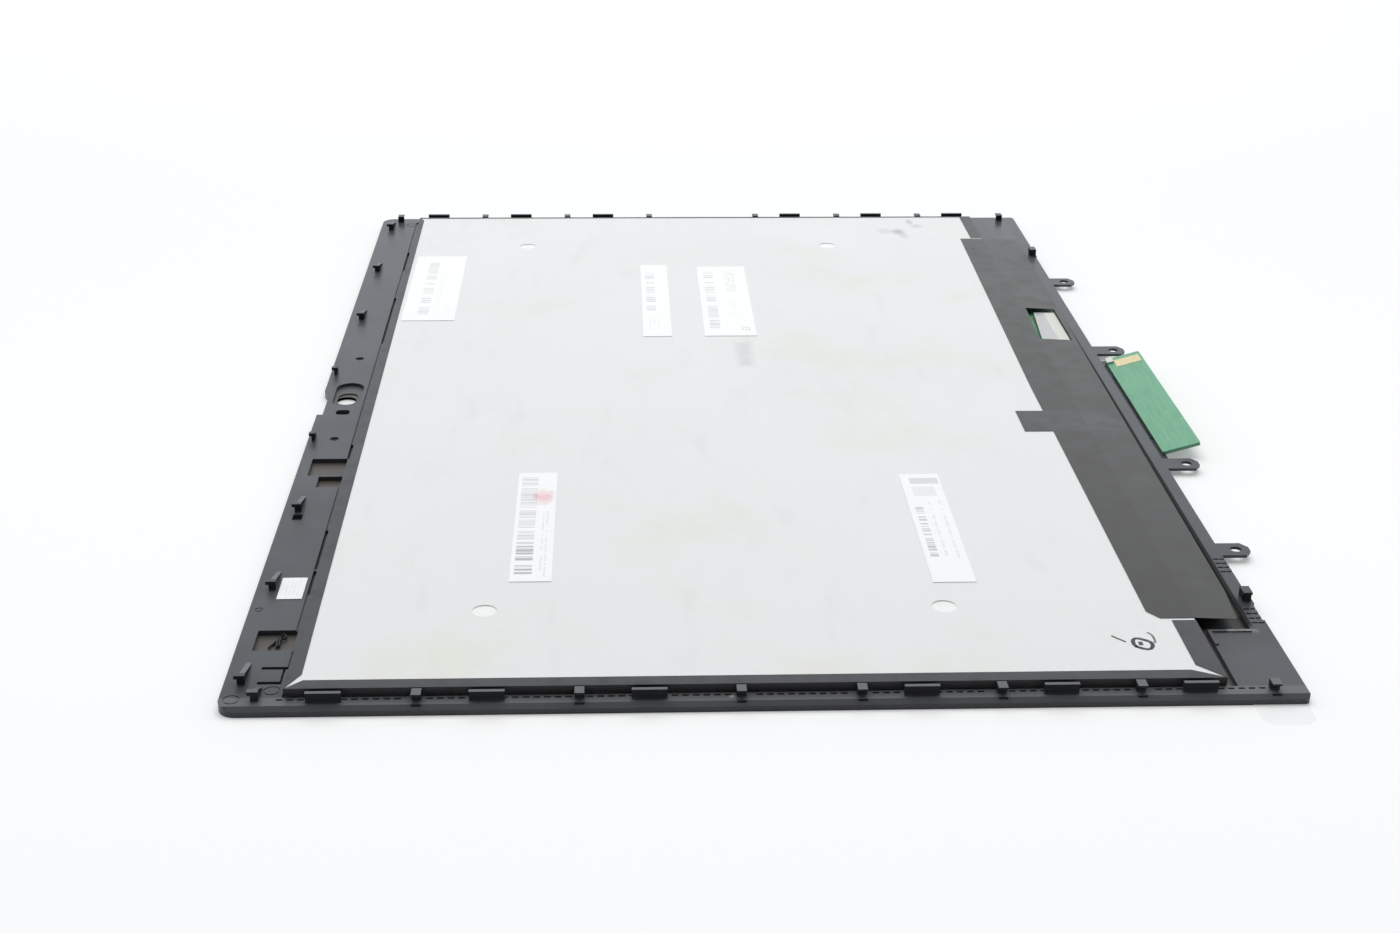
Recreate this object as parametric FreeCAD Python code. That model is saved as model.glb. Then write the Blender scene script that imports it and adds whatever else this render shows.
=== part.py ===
"""Laptop touchscreen assembly, lying on its glass with its back up.

Frame: X runs along the long side, Y towards the camera strip, Z up out of the back.
The origin is the centre of the front face. All sizes are in millimetres.
"""
import math
import os

import FreeCAD
import Part

V = FreeCAD.Vector

# LCD module, a 13.3 inch wide panel
PANEL_L = 303.0
PANEL_W = 178.7
PLATE_T = 0.2
PLATE_SKIRT = 1.6
PLATE_HOLE_D = 5.1
PLATE_HOLE_END = 30.5
PLATE_HOLE_CAMERA = 35.8
PLATE_HOLE_TAB = 49.7

# Layers, from the front face up
FRONT_FILM_T = 0.1
GLASS_T = 0.7
OPTICAL_BOND_T = 0.2
POLARIZER_T = 0.15
CELL_GLASS_T = 0.3
OPTICAL_SHEET_T = 0.12
GUIDE_T = 0.8
REFLECTOR_T = 0.2

# Panel frame round the light guide, and what it holds
PANEL_FRAME_WALL = 0.8
PANEL_FRAME_LEDGE = 2.0
CELL_CLEARANCE = 0.3
SHEET_CLEARANCE = 0.4
POLARIZER_INSET = 1.5
CELL_BOND_LEDGE = 2.2
LED_FLEX_T = 0.12
LED_FLEX_W = 2.4
LED_L = 3.0
LED_W = 0.8
LED_H = 0.5
LED_PITCH = 8.0

# Bezel frame
SIDE_RIM = 4.2
SIDE_GAP = 0.3
CAMERA_STRIP = 11.75
CAMERA_GAP = 0.35
TAB_RIM = 4.0
CORNER_PAD = 26.4
FLANGE_T = 0.9
BEVEL_W = 1.15
BEVEL_H = 0.7
LIP_T = 1.5
LIP_RAISE = 0.0
GLASS_CLEARANCE = 0.1
BOND_TAPE_T = 0.1
BOND_TAPE_INSET = 0.4
CAMERA_CORNER_R = 3.6
TAB_CORNER_R = 1.2
TAB_EDGE_STEP = 0.4
TAB_EDGE_STEP_END = 4.2
PAD_RIB_W = 0.8
PAD_RIB_H = 0.25
PAD_RIB_LONG = 9.0
PAD_RIB_SHORT = 6.0
PAD_SLOT = 2.2
FAR_PAD_SLOT = 0.8

# Snap clips and hooked posts along both short edges
CLIP_W = 6.7
CLIP_T = 0.9
CLIP_H = 2.15
CLIP_INSET = 1.8
CLIP_BARB = 0.45
CLIP_HEAD = 0.25
POST_W = 1.85
POST_H = 1.9
POST_STEM = 1.2
POST_HEAD = 2.5
POST_HEAD_T = 0.4
POST_INSET = 1.3
POST_MARK_W = 0.45
POST_MARK_DEPTH = 0.5
CLIPS_PER_GROUP = 3
UPPER_FIRST = 19.7
UPPER_PITCH = 30.45
UPPER_POST_LAG = 17.3
FAR_UPPER_FIRST = 18.0
FAR_UPPER_PITCH = 26.55
FAR_UPPER_POST_LAG = 15.0
LOWER_FIRST = 20.8
LOWER_PITCH = 26.6
LOWER_POST_LAG = 11.3
CORNER_POST_TAB = 6.4
FAR_POST_CAMERA = 5.8
FAR_POST_TAB = 5.2

# Gusseted hooks along the camera strip
HOOK_L = 1.2
HOOK_T = 1.5
HOOK_H = 2.0
HOOK_REACH = 0.6
HOOK_HEAD_T = 0.75
HOOK_INSET = 2.05
CAMERA_HOOK_INSET = 0.4
CAMERA_HOOK_T = 0.8
GUSSET_L = 7.6
GUSSET_T = 1.1
CAMERA_GUSSET_L = 2.0
CORNER_GUSSET_L = 4.3
CORNER_HOOK_END = 2.8
CORNER_HOOK_INSET = 5.5
HOOK_END = 9.0
FAR_HOOK_END = 12.3
HOOK_OUTER = 48.2
FAR_HOOK_OUTER = 54.7
HOOK_MIDDLE = 64.0
HOOK_INNER = 22.2
HOOK_SHIFT = -5.65
CAMERA_HOOK_SHIFT = -6.6
HOOK_POCKET_L = 2.9
HOOK_POCKET_GAP = 1.2
HOOK_POCKET_SHIFT = 0.5

# Camera strip openings, measured from the strip's outer edge
CAMERA_LINE = 6.3
CAMERA_RECESS_L = 16.1
CAMERA_RECESS_W = 7.0
CAMERA_RECESS_SHIFT = 1.55
CAMERA_RECESS_DEPTH = 0.75
CAMERA_HOLE_L = 8.4
CAMERA_HOLE_W = 5.1
SHUTTER_SLOT_X = -10.5
SHUTTER_SLOT_L = 3.0
SHUTTER_SLOT_W = 3.4
SHUTTER_NOTCH_X = -5.8
SHUTTER_NOTCH_L = 12.2
SHUTTER_NOTCH_SLOPE = 3.7
SHUTTER_NOTCH_DEPTH = 1.45
MIC_OFFSET = 27.5
MIC_HOLE_D = 1.0
MIC_RECESS_D = 2.2
MIC_RECESS_DEPTH = 0.4
CABLE_POCKET_X = -44.6
CABLE_POCKET_L = 9.8
CABLE_POCKET_W = 8.2
CABLE_GATE_L = 6.0
CABLE_GATE_RIDGE = 0.6
CABLE_GATE_W = 5.4
POCKET_MARGIN = 2.7
NEAR_POCKET_END = 22.4
NEAR_POCKET_L = 8.3
NEAR_POCKET_W = 7.8
NEAR_POCKET_MARGIN = 3.3
TONGUE_END = 9.7
TONGUE_L = 5.7
TONGUE_REACH = 5.45
TONGUE_WALL = 0.8
TONGUE_GAP = 0.45
TONGUE_RELIEF = 0.5
SLIT_W = 1.0
STRIP_STEP_DEPTH = 0.3
EDGE_RELIEF = 1.0
EDGE_RELIEF_X = -88.1
EDGE_RELIEF_L = 19.0
EDGE_RELIEF_NEXT_X = -104.0
EDGE_RELIEF_NEXT_L = 10.9
EDGE_RELIEF_CABLE_L = 8.2
EDGE_RELIEF_BRIDGE = 0.8
EDGE_RELIEF_FAR_X = 59.0
EDGE_RELIEF_FAR_L = 38.0
EDGE_RELIEF_LAST_X = 112.0
EDGE_RELIEF_LAST_L = 18.0
EJECTOR_D = 3.3
EJECTOR_GROOVE = 0.3
EJECTOR_DEPTH = 0.12
EJECTOR_END = 6.8
EJECTOR_LINE = 9.5
EJECTOR_SMALL_D = 1.7
EJECTOR_SMALL_X = -116.3
EJECTOR_SMALL_LINE = 2.0
EJECTOR_CORNER_END = 3.6
EJECTOR_CORNER_LINE = 2.4

# Screw tabs on the tab edge
TAB_W = 6.0
TAB_T = 0.65
TAB_HOLE_D = 2.5
TAB_CHAMFER_X = 2.0
TAB_CHAMFER_Y = 1.4
TAB_HOLE_MARGIN = 3.0
TAB_POST_X = 116.0
TAB_POST_L = 3.1
TAB_POST_W = 1.9
TAB_POST_INSET = 0.35
TAB_POST_FOOT = 0.5
TAB_POST_NECK = 0.6
DENT_L = 1.25
DENT_W = 0.55
DENT_DEPTH = 0.3
DENT_PITCH = 2.0
DENT_LINE = 3.3
DENT_END = 8.6
DENT_CLEAR = 1.9
TAB_DENT_FIRST = 97.6
TAB_DENT_NEXT = 120.6
TAB_DENT_COUNT = 4
TAB_DENT_LINE = 1.0
TAB_DENT_ROW = 1.4
BOARD_LEDGE_L = 66.0
BOARD_LEDGE_W = 1.9
BOARD_LEDGE_TOP = 0.75
OUTER_TAB_SPACING = 182.6
OUTER_TAB_SHIFT = -1.5
OUTER_TAB_REACH = 6.4
INNER_TAB_REACH = 7.8
INNER_TAB_SHIFT = -7.6

# Driver board below the panel, and its cover film
BOARD_W = 9.0
BOARD_T = 0.45
BOARD_TAPE_T = 0.1
BOARD_TAPE_INSET = 1.0
BOARD_TO_PANEL = 0.8
BOARD_TO_RIM = 1.4
BOARD_END_INSET = 7.4
COLUMN_FLEX_T = 0.1
COLUMN_FLEX_W = 22.0
COLUMN_FLEX_PITCH = 50.0
COLUMN_FLEX_COUNT = 4
COLUMN_FLEX_LAP = 2.0
CHIP_SIDE = 6.0
CHIP_H = 0.7
CHIP_X = 0.0
INDUCTOR_SIDE = 4.0
INDUCTOR_X = -60.0
CAPACITOR_L = 1.6
CAPACITOR_W = 0.8
CAPACITOR_H = 0.6
CAPACITOR_PITCH = 7.0
CAPACITOR_COUNT = 5
CAPACITOR_END = 42.0
PART_LINE = 3.6
FILM_T = 0.1
FILM_CLEARANCE = 0.85
FILM_END_GAP = 2.2
FILM_RIM_GAP = 1.4
FILM_RIM_LAP = 0.15
FILM_LAP_NEAR = 9.1
FILM_LAP_MIDDLE = 8.85
FILM_LAP_FAR = 6.8
FILM_TAPER_L = 12.0
FILM_TAPER_W = 1.0
FILM_CHAMFER_X = 3.2
FILM_CHAMFER_Y = 2.2
FILM_TAB_X = -23.3
FILM_TAB_L = 13.2
FILM_TAB_REACH = 7.0
CONNECTOR_X = 48.5
CONNECTOR_L = 23.0
CONNECTOR_W = 5.8
CONNECTOR_H = 1.1
CONNECTOR_WALL = 0.5
CONNECTOR_MOUTH = 0.5
CONNECTOR_SHELL_W = 2.6
CONNECTOR_SHELL_T = 0.1
CONNECTOR_SHELL_SKEW = 1.9
CONNECTOR_EDGE = 0.3
WINDOW_MARGIN = 1.3
WINDOW_INNER = 2.2
WINDOW_OUTER = 0.1
WINDOW_SKEW = 1.0

# Edge tapes, folded over the panel's sides
TAPE_T = 0.1
TAPE_CAMERA_W = 2.75
TAPE_CAMERA_FAR_W = 1.45
TAPE_SHORT_W = 3.1
TAPE_FAR_W = 0.6
TAPE_LOWER_W = 4.8
TAPE_LOWER_FAR_W = 3.4
TAPE_DROP = 1.5
TAPE_MITRE_GAP = 0.9
TAPE_MITRE_LEAN = 2.0
TAPE_MITRE_STEEP = 1.06
TAPE_BUTT_LEAN = 0.2
TAPE_BUTT_CLEAR = 1.1

# Touch board, held at a slant by its flex
TOUCH_BOARD_L = 63.0
TOUCH_BOARD_W = 9.3
TOUCH_BOARD_T = 0.8
TOUCH_BOARD_R = 0.6
TOUCH_BOARD_SLANT = 16.0
TOUCH_BOARD_GAP = 1.1
TOUCH_BOARD_TO_TAB = 4.1
TOUCH_FLEX_T = 0.12
TOUCH_FLEX_L = 42.0
TOUCH_FLEX_LAP = 4.0
TOUCH_FLEX_ROOT = 3.2
TOUCH_FLEX_SLOT = 0.25
PAD_T = 0.08
PAD_L = 4.6
PAD_W = 6.7
PAD_END = 2.2
PAD_EDGE = 0.7
TOUCH_CONNECTOR_L = 3.2
TOUCH_CONNECTOR_W = 1.8
TOUCH_CONNECTOR_H = 0.5
TOUCH_CHIP_L = 7.0
TOUCH_CHIP_W = 3.4
TOUCH_CHIP_H = 0.6
TOUCH_CHIP_END = 5.0
TOUCH_CHIP_EDGE = 0.7

# Front film with its pull tab at the near corner
FRONT_FILM_INSET = 0.6
PULL_TAB_W = 10.4
PULL_TAB_REACH = 7.4
PULL_TAB_END = 0.6
PULL_TAB_R = 2.2

# Labels: length along X, width along Y
LABEL_T = 0.1
CORNER_LABEL_L = 58.1
CORNER_LABEL_W = 14.8
CORNER_LABEL_END = 40.6
CORNER_LABEL_GAP = 0.15
UPPER_LABEL_L = 62.6
UPPER_LABEL_W = 7.9
UPPER_LABEL_END = 49.8
UPPER_LABEL_Y = 15.0
LOWER_LABEL_L = 60.8
LOWER_LABEL_W = 14.3
LOWER_LABEL_END = 51.5
LOWER_LABEL_Y = -5.1
STAMP_LABEL_L = 55.6
STAMP_LABEL_W = 8.9
STAMP_LABEL_END = 43.1
STAMP_LABEL_Y = 44.8
CODE_LABEL_L = 55.3
CODE_LABEL_W = 9.1
CODE_LABEL_END = 41.0
CODE_LABEL_Y = -43.5
BEZEL_LABEL_L = 9.6
BEZEL_LABEL_W = 5.2
BEZEL_LABEL_END = 44.1
BEZEL_LABEL_LINE = 7.4

# Heights that follow from the layers
Z_GLASS = FRONT_FILM_T
Z_GLASS_BACK = Z_GLASS + GLASS_T
Z_FLANGE = Z_GLASS_BACK + BOND_TAPE_T
Z_RIM = Z_FLANGE + FLANGE_T
Z_BEVEL = Z_RIM - BEVEL_H
Z_POLARIZER = Z_GLASS_BACK + OPTICAL_BOND_T
Z_COLOUR_GLASS = Z_POLARIZER + POLARIZER_T
Z_TFT_GLASS = Z_COLOUR_GLASS + CELL_GLASS_T
Z_REAR_POLARIZER = Z_TFT_GLASS + CELL_GLASS_T
Z_SHEETS = Z_REAR_POLARIZER + POLARIZER_T
Z_GUIDE = Z_SHEETS + 3 * OPTICAL_SHEET_T
Z_REFLECTOR = Z_GUIDE + GUIDE_T
Z_PLATE = Z_REFLECTOR + REFLECTOR_T
Z_PLATE_BACK = Z_PLATE + PLATE_T
Z_BOARD = Z_GLASS_BACK + BOARD_TAPE_T
Z_BOARD_TOP = Z_BOARD + BOARD_T
Z_FILM = Z_BOARD_TOP + CHIP_H + FILM_CLEARANCE

# Plan positions that follow from the panel and the rims
BAY_W = BOARD_W + BOARD_TO_PANEL + BOARD_TO_RIM
FRAME_L = PANEL_L + 2 * (SIDE_GAP + SIDE_RIM)
FRAME_W = TAB_RIM + BAY_W + PANEL_W + CAMERA_GAP + CAMERA_STRIP
X_FAR = FRAME_L / 2
Y_CAMERA = FRAME_W / 2
Y_TAB = -FRAME_W / 2
PANEL_X = PANEL_L / 2
PANEL_Y1 = Y_CAMERA - CAMERA_STRIP - CAMERA_GAP
PANEL_Y0 = PANEL_Y1 - PANEL_W
STRIP_Y = Y_CAMERA - CAMERA_STRIP
WINDOW_X = X_FAR - SIDE_RIM
BAY_X = X_FAR - CORNER_PAD
BAY_Y0 = Y_TAB + TAB_RIM
PAD_Y = PANEL_Y0 - PAD_SLOT
FAR_PAD_Y = PANEL_Y0 - FAR_PAD_SLOT
BOARD_Y1 = PANEL_Y0 - BOARD_TO_PANEL
BOARD_Y0 = BOARD_Y1 - BOARD_W
FILM_X = BAY_X - FILM_END_GAP
BOARD_X = FILM_X - BOARD_END_INSET
FILM_Y0 = BAY_Y0 - FILM_RIM_LAP
INNER_TAB_SPACING = TOUCH_BOARD_L + TAB_W + 2 * TOUCH_BOARD_TO_TAB
CELL_X = PANEL_X - PLATE_T - PANEL_FRAME_WALL - CELL_CLEARANCE
CELL_Y1 = PANEL_Y1 - PLATE_T - PANEL_FRAME_WALL - CELL_CLEARANCE
CELL_Y0 = PANEL_Y0 + CELL_CLEARANCE
LEDGE_X = PANEL_X - PLATE_T - PANEL_FRAME_WALL - PANEL_FRAME_LEDGE
LEDGE_Y1 = PANEL_Y1 - PLATE_T - PANEL_FRAME_WALL - PANEL_FRAME_LEDGE
LEDGE_Y0 = PANEL_Y0 + PANEL_FRAME_WALL
GUIDE_Y0 = LEDGE_Y0 + SHEET_CLEARANCE + LED_FLEX_W
THROUGH = Z_PLATE_BACK + CLIP_H


def block(x0, x1, y0, y1, z0, z1):
    """Box between two corners."""
    return Part.makeBox(x1 - x0, y1 - y0, z1 - z0, V(x0, y0, z0))


def centred(x, y, length, width, z0, z1):
    """Box about a plan centre."""
    return block(x - length / 2, x + length / 2, y - width / 2, y + width / 2, z0, z1)


def disc(x, y, diameter, z0, z1):
    """Upright cylinder."""
    return Part.makeCylinder(diameter / 2, z1 - z0, V(x, y, z0))


def obround(x, y, length, width, z0, z1):
    """Slot with round ends, long along X."""
    reach = (length - width) / 2
    middle = centred(x, y, 2 * reach, width, z0, z1)
    ends = [disc(x + side * reach, y, width, z0, z1) for side in (-1, 1)]
    return middle.fuse(ends).removeSplitter()


def upright_edges(shape, wanted):
    """Vertical edges whose plan point passes the test."""
    found = []
    for edge in shape.Edges:
        first, last = edge.Vertexes[0].Point, edge.Vertexes[-1].Point
        if abs(first.x - last.x) < 1e-6 and abs(first.y - last.y) < 1e-6 and wanted(first):
            found.append(edge)
    return found


def cornered(shape, radius, wanted=lambda point: True):
    """Round the upright edges that pass the test."""
    return shape.makeFillet(radius, upright_edges(shape, wanted))


def outline_slab(inset, z0, z1):
    """The frame's outline, drawn in by an inset, with its two kinds of corner."""
    slab = block(-X_FAR + inset, X_FAR - inset, Y_TAB + inset, Y_CAMERA - inset, z0, z1)
    slab = cornered(slab, max(CAMERA_CORNER_R - inset, TAB_CORNER_R / 2), lambda point: point.y > 0)
    return cornered(slab, max(TAB_CORNER_R - inset, TAB_CORNER_R / 2), lambda point: point.y < 0)


def prism_x(points, x0, x1):
    """Profile in Y and Z, drawn out along X."""
    corners = [V(x0, y, z) for y, z in points]
    return Part.Face(Part.makePolygon(corners + corners[:1])).extrude(V(x1 - x0, 0, 0))


def prism_y(points, y0, y1):
    """Profile in X and Z, drawn out along Y."""
    corners = [V(x, y0, z) for x, z in points]
    return Part.Face(Part.makePolygon(corners + corners[:1])).extrude(V(0, y1 - y0, 0))


def prism_z(points, z0, z1):
    """Plan profile, drawn up along Z."""
    corners = [V(x, y, z0) for x, y in points]
    return Part.Face(Part.makePolygon(corners + corners[:1])).extrude(V(0, 0, z1 - z0))


def to_far_side(shape):
    """Mirror image across the middle of the long side."""
    return shape.mirror(V(0, 0, 0), V(1, 0, 0))


def both_sides(shape):
    """A piece at the near edge with its mirror image at the far edge."""
    return [shape, to_far_side(shape)]


def layer(x, y0, y1, z, thickness):
    """Flat layer of the stack, centred along X."""
    return block(-x, x, y0, y1, z, z + thickness)


def front_film():
    """Clear film over the glass, with a rounded pull tab at the near corner."""
    edge = LIP_T + GLASS_CLEARANCE + FRONT_FILM_INSET
    sheet = outline_slab(edge, 0, FRONT_FILM_T)
    tab_y0 = Y_TAB + PULL_TAB_END
    tab = block(-X_FAR - PULL_TAB_REACH, -X_FAR + 2 * LIP_T, tab_y0, tab_y0 + PULL_TAB_W, 0, FRONT_FILM_T)
    tab = cornered(tab, PULL_TAB_R, lambda point: point.x < -X_FAR)
    return sheet.fuse(tab).removeSplitter()


def cover_glass():
    """Cover glass inside the frame's lip."""
    return outline_slab(LIP_T + GLASS_CLEARANCE, Z_GLASS, Z_GLASS_BACK)


def strip_openings():
    """Openings of the camera strip that go down to the glass."""
    line = Y_CAMERA - CAMERA_LINE
    shutter = centred(SHUTTER_SLOT_X, line, SHUTTER_SLOT_L, SHUTTER_SLOT_W, 0, THROUGH)
    cuts = [
        obround(0, line, CAMERA_HOLE_L, CAMERA_HOLE_W, 0, THROUGH),
        cornered(shutter, SHUTTER_SLOT_L / 3),
        disc(MIC_OFFSET, line, MIC_HOLE_D, 0, THROUGH),
        disc(-MIC_OFFSET, line, MIC_HOLE_D, 0, THROUGH),
    ]
    pocket_y1 = Y_CAMERA - POCKET_MARGIN
    pocket_y = pocket_y1 - CABLE_POCKET_W / 2
    cuts.append(centred(CABLE_POCKET_X, pocket_y, CABLE_POCKET_L, CABLE_POCKET_W, 0, THROUGH))
    gate_x1 = CABLE_POCKET_X - CABLE_POCKET_L / 2 - CABLE_GATE_RIDGE
    gate_y0 = pocket_y - CABLE_POCKET_W / 2
    cuts.append(block(gate_x1 - CABLE_GATE_L, gate_x1, gate_y0, gate_y0 + CABLE_GATE_W, 0, THROUGH))
    pocket_x1 = -X_FAR + NEAR_POCKET_END + NEAR_POCKET_L
    pocket_y1 = Y_CAMERA - NEAR_POCKET_MARGIN
    cuts.append(block(pocket_x1 - NEAR_POCKET_L, pocket_x1, pocket_y1 - NEAR_POCKET_W, pocket_y1, 0, THROUGH))
    front = HOOK_SHIFT - HOOK_MIDDLE - HOOK_POCKET_GAP
    hook_y1 = Y_CAMERA - HOOK_INSET - HOOK_POCKET_SHIFT
    cuts.append(block(front - HOOK_POCKET_L, front, hook_y1 - HOOK_REACH - HOOK_T, hook_y1, 0, THROUGH))
    return cuts


def tongue_slits():
    """Slits on both sides of the spring tongue near the end of the strip."""
    outer = -X_FAR + TONGUE_END
    inner = outer + TONGUE_L
    root = STRIP_Y + TONGUE_REACH
    wall = STRIP_Y + TONGUE_WALL
    slits = [
        block(outer - SLIT_W / 2, outer + SLIT_W / 2, wall, root, 0, THROUGH),
        block(inner - SLIT_W / 2, inner + SLIT_W / 2, STRIP_Y, root, 0, THROUGH),
        block(outer, inner, wall, wall + TONGUE_GAP, 0, THROUGH),
        block(inner, -X_FAR + NEAR_POCKET_END, STRIP_Y, STRIP_Y + TONGUE_RELIEF, 0, THROUGH),
    ]
    cable_x = CABLE_POCKET_X + CABLE_POCKET_L / 2 + EDGE_RELIEF_BRIDGE + EDGE_RELIEF_CABLE_L / 2
    for x, length in ((EDGE_RELIEF_X, EDGE_RELIEF_L), (EDGE_RELIEF_NEXT_X, EDGE_RELIEF_NEXT_L),
                      (cable_x, EDGE_RELIEF_CABLE_L), (EDGE_RELIEF_FAR_X, EDGE_RELIEF_FAR_L),
                      (EDGE_RELIEF_LAST_X, EDGE_RELIEF_LAST_L)):
        slits.append(block(x - length / 2, x + length / 2, STRIP_Y, STRIP_Y + EDGE_RELIEF, 0, THROUGH))
    return slits


def strip_recesses():
    """Recesses of the camera strip: camera, microphones, the low inner step and the shutter notch."""
    line = Y_CAMERA - CAMERA_LINE
    mic_floor = Z_RIM - MIC_RECESS_DEPTH
    cuts = [
        obround(CAMERA_RECESS_SHIFT, line, CAMERA_RECESS_L, CAMERA_RECESS_W, Z_RIM - CAMERA_RECESS_DEPTH,
                THROUGH),
        disc(MIC_OFFSET, line, MIC_RECESS_D, mic_floor, THROUGH),
        disc(-MIC_OFFSET, line, MIC_RECESS_D, mic_floor, THROUGH),
        block(-X_FAR + NEAR_POCKET_END, WINDOW_X, STRIP_Y, STRIP_Y + EDGE_RELIEF, Z_RIM - STRIP_STEP_DEPTH,
              THROUGH),
    ]
    half = SHUTTER_NOTCH_L / 2
    floor = Y_CAMERA - SHUTTER_NOTCH_DEPTH
    notch = [
        (SHUTTER_NOTCH_X - half, Y_CAMERA + LIP_T),
        (SHUTTER_NOTCH_X - half, floor),
        (SHUTTER_NOTCH_X + half, floor),
        (SHUTTER_NOTCH_X + half + SHUTTER_NOTCH_SLOPE, Y_CAMERA),
        (SHUTTER_NOTCH_X + half + SHUTTER_NOTCH_SLOPE, Y_CAMERA + LIP_T),
    ]
    cuts.append(prism_z(notch, 0, THROUGH))
    return cuts


def ejector_marks():
    """Ring grooves that the mould's ejector pins leave."""
    floor = Z_RIM - EJECTOR_DEPTH
    marks = []
    for x, line, diameter in ((-X_FAR + EJECTOR_END, EJECTOR_LINE, EJECTOR_D),
                              (X_FAR - EJECTOR_END, EJECTOR_LINE, EJECTOR_D),
                              (-X_FAR + EJECTOR_CORNER_END, EJECTOR_CORNER_LINE, EJECTOR_D),
                              (EJECTOR_SMALL_X, EJECTOR_SMALL_LINE, EJECTOR_SMALL_D)):
        y = Y_CAMERA - line
        ring = disc(x, y, diameter, floor, THROUGH)
        marks.append(ring.cut(disc(x, y, diameter - 2 * EJECTOR_GROOVE, floor, THROUGH)))
    return marks


def edge_stations(first_camera, pitch_camera, first_tab):
    """Y places of a row along a short edge: one group from each end."""
    upper = [Y_CAMERA - first_camera - pitch_camera * count for count in range(CLIPS_PER_GROUP)]
    lower = [Y_TAB + first_tab + LOWER_PITCH * count for count in range(CLIPS_PER_GROUP)]
    return upper + lower


def edge_clip(y):
    """Wide snap clip on the near edge: a thin wall with a lip outward along its top."""
    outer = -X_FAR + CLIP_INSET
    inner = outer + CLIP_T
    top = Z_RIM + CLIP_H
    under = top - CLIP_HEAD
    profile = [
        (outer + CLIP_BARB, Z_FLANGE), (outer + CLIP_BARB, under), (outer, under), (outer, top), (inner, top),
        (inner, Z_FLANGE),
    ]
    return prism_y(profile, y - CLIP_W / 2, y + CLIP_W / 2)


def edge_post(y):
    """Narrow post on the near edge, its head hooked outward."""
    outer = -X_FAR + POST_INSET
    inner = outer + POST_HEAD
    top = Z_RIM + POST_H
    under = top - POST_HEAD_T
    stem = inner - POST_STEM
    profile = [
        (stem, Z_FLANGE), (stem, under), (outer, under), (outer, top), (inner, top), (inner, Z_FLANGE),
    ]
    return prism_y(profile, y - POST_W / 2, y + POST_W / 2)


def post_mark(y):
    """Small pocket in the bevel under a post's head."""
    inner = -X_FAR + BEVEL_W
    return block(inner - POST_MARK_W, inner, y - POST_W / 2, y + POST_W / 2, Z_RIM - POST_MARK_DEPTH, Z_RIM)


def tab_post():
    """Hooked post on the tab rim, near the near corner pad."""
    y0 = Y_TAB + TAB_POST_INSET
    x0 = -TAB_POST_X - TAB_POST_L / 2
    x1 = x0 + TAB_POST_L
    top = Z_RIM + CLIP_H
    under = top - POST_HEAD_T
    profile = [(x0 + TAB_POST_NECK, Z_FLANGE), (x0 + TAB_POST_NECK, under - TAB_POST_NECK), (x0, under),
               (x0, top), (x1, top), (x1, Z_FLANGE)]
    foot = block(x0 - TAB_POST_NECK, x1, Y_TAB, Y_TAB + TAB_POST_FOOT, Z_FLANGE, Z_RIM)
    return prism_y(profile, y0, y0 + TAB_POST_W).fuse(foot).removeSplitter()


def strip_hook(front, inset, gusset, thickness=HOOK_T):
    """Hook on the camera strip: an upright with a head outward and a tapered gusset behind it."""
    outer = Y_CAMERA - inset
    stem = outer - HOOK_REACH
    inner = stem - thickness
    top = Z_RIM + HOOK_H
    under = top - HOOK_HEAD_T
    profile = [(inner, Z_FLANGE), (inner, top), (outer, top), (outer, under), (stem, under), (stem, Z_FLANGE)]
    root = front + HOOK_L
    rise = [(root, Z_FLANGE), (root, top), (root + gusset, Z_RIM), (root + gusset, Z_FLANGE)]
    web = prism_y(rise, inner, inner + min(GUSSET_T, thickness))
    return prism_x(profile, front, root).fuse(web).removeSplitter()


def strip_hooks():
    """All hooks of the camera strip, from the near corner to the far end."""
    hooks = [strip_hook(-X_FAR + CORNER_HOOK_END, CORNER_HOOK_INSET, CORNER_GUSSET_L)]
    fronts = [-X_FAR + HOOK_END, -X_FAR + HOOK_OUTER, HOOK_SHIFT - HOOK_MIDDLE, HOOK_SHIFT + HOOK_MIDDLE,
              X_FAR - FAR_HOOK_OUTER, X_FAR - FAR_HOOK_END]
    for front in fronts:
        hooks.append(strip_hook(front, HOOK_INSET, GUSSET_L))
    for side in (-1, 1):
        front = CAMERA_HOOK_SHIFT + side * HOOK_INNER
        hooks.append(strip_hook(front, CAMERA_HOOK_INSET, CAMERA_GUSSET_L, CAMERA_HOOK_T))
    return hooks


def tab_stations():
    """X place and reach of each screw tab."""
    stations = []
    for side in (-1, 1):
        stations.append((OUTER_TAB_SHIFT + side * OUTER_TAB_SPACING / 2, OUTER_TAB_REACH))
        stations.append((INNER_TAB_SHIFT + side * INNER_TAB_SPACING / 2, INNER_TAB_REACH))
    return stations


def screw_tab(x, reach):
    """Screw tab standing out of the tab edge, with its hole."""
    end = Y_TAB - reach
    root = Y_TAB + TAB_RIM / 2
    half = TAB_W / 2
    flat = half - TAB_CHAMFER_X
    shoulder = end + TAB_CHAMFER_Y
    outline = [(x - half, root), (x - half, shoulder), (x - flat, end), (x + flat, end), (x + half, shoulder),
               (x + half, root)]
    tab = prism_z(outline, Z_RIM - TAB_T, Z_RIM)
    return tab.cut(disc(x, end + TAB_HOLE_MARGIN, TAB_HOLE_D, 0, THROUGH))


def pad_rib(y1):
    """Low rib round the inner corner of the near corner pad, up to a given edge."""
    x1 = -BAY_X
    top = Z_RIM + PAD_RIB_H
    long_arm = block(x1 - PAD_RIB_W, x1, y1 - PAD_RIB_LONG, y1, Z_FLANGE, top)
    short_arm = block(x1 - PAD_RIB_SHORT, x1, y1 - PAD_RIB_W, y1, Z_FLANGE, top)
    return long_arm.fuse(short_arm).removeSplitter()


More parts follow.
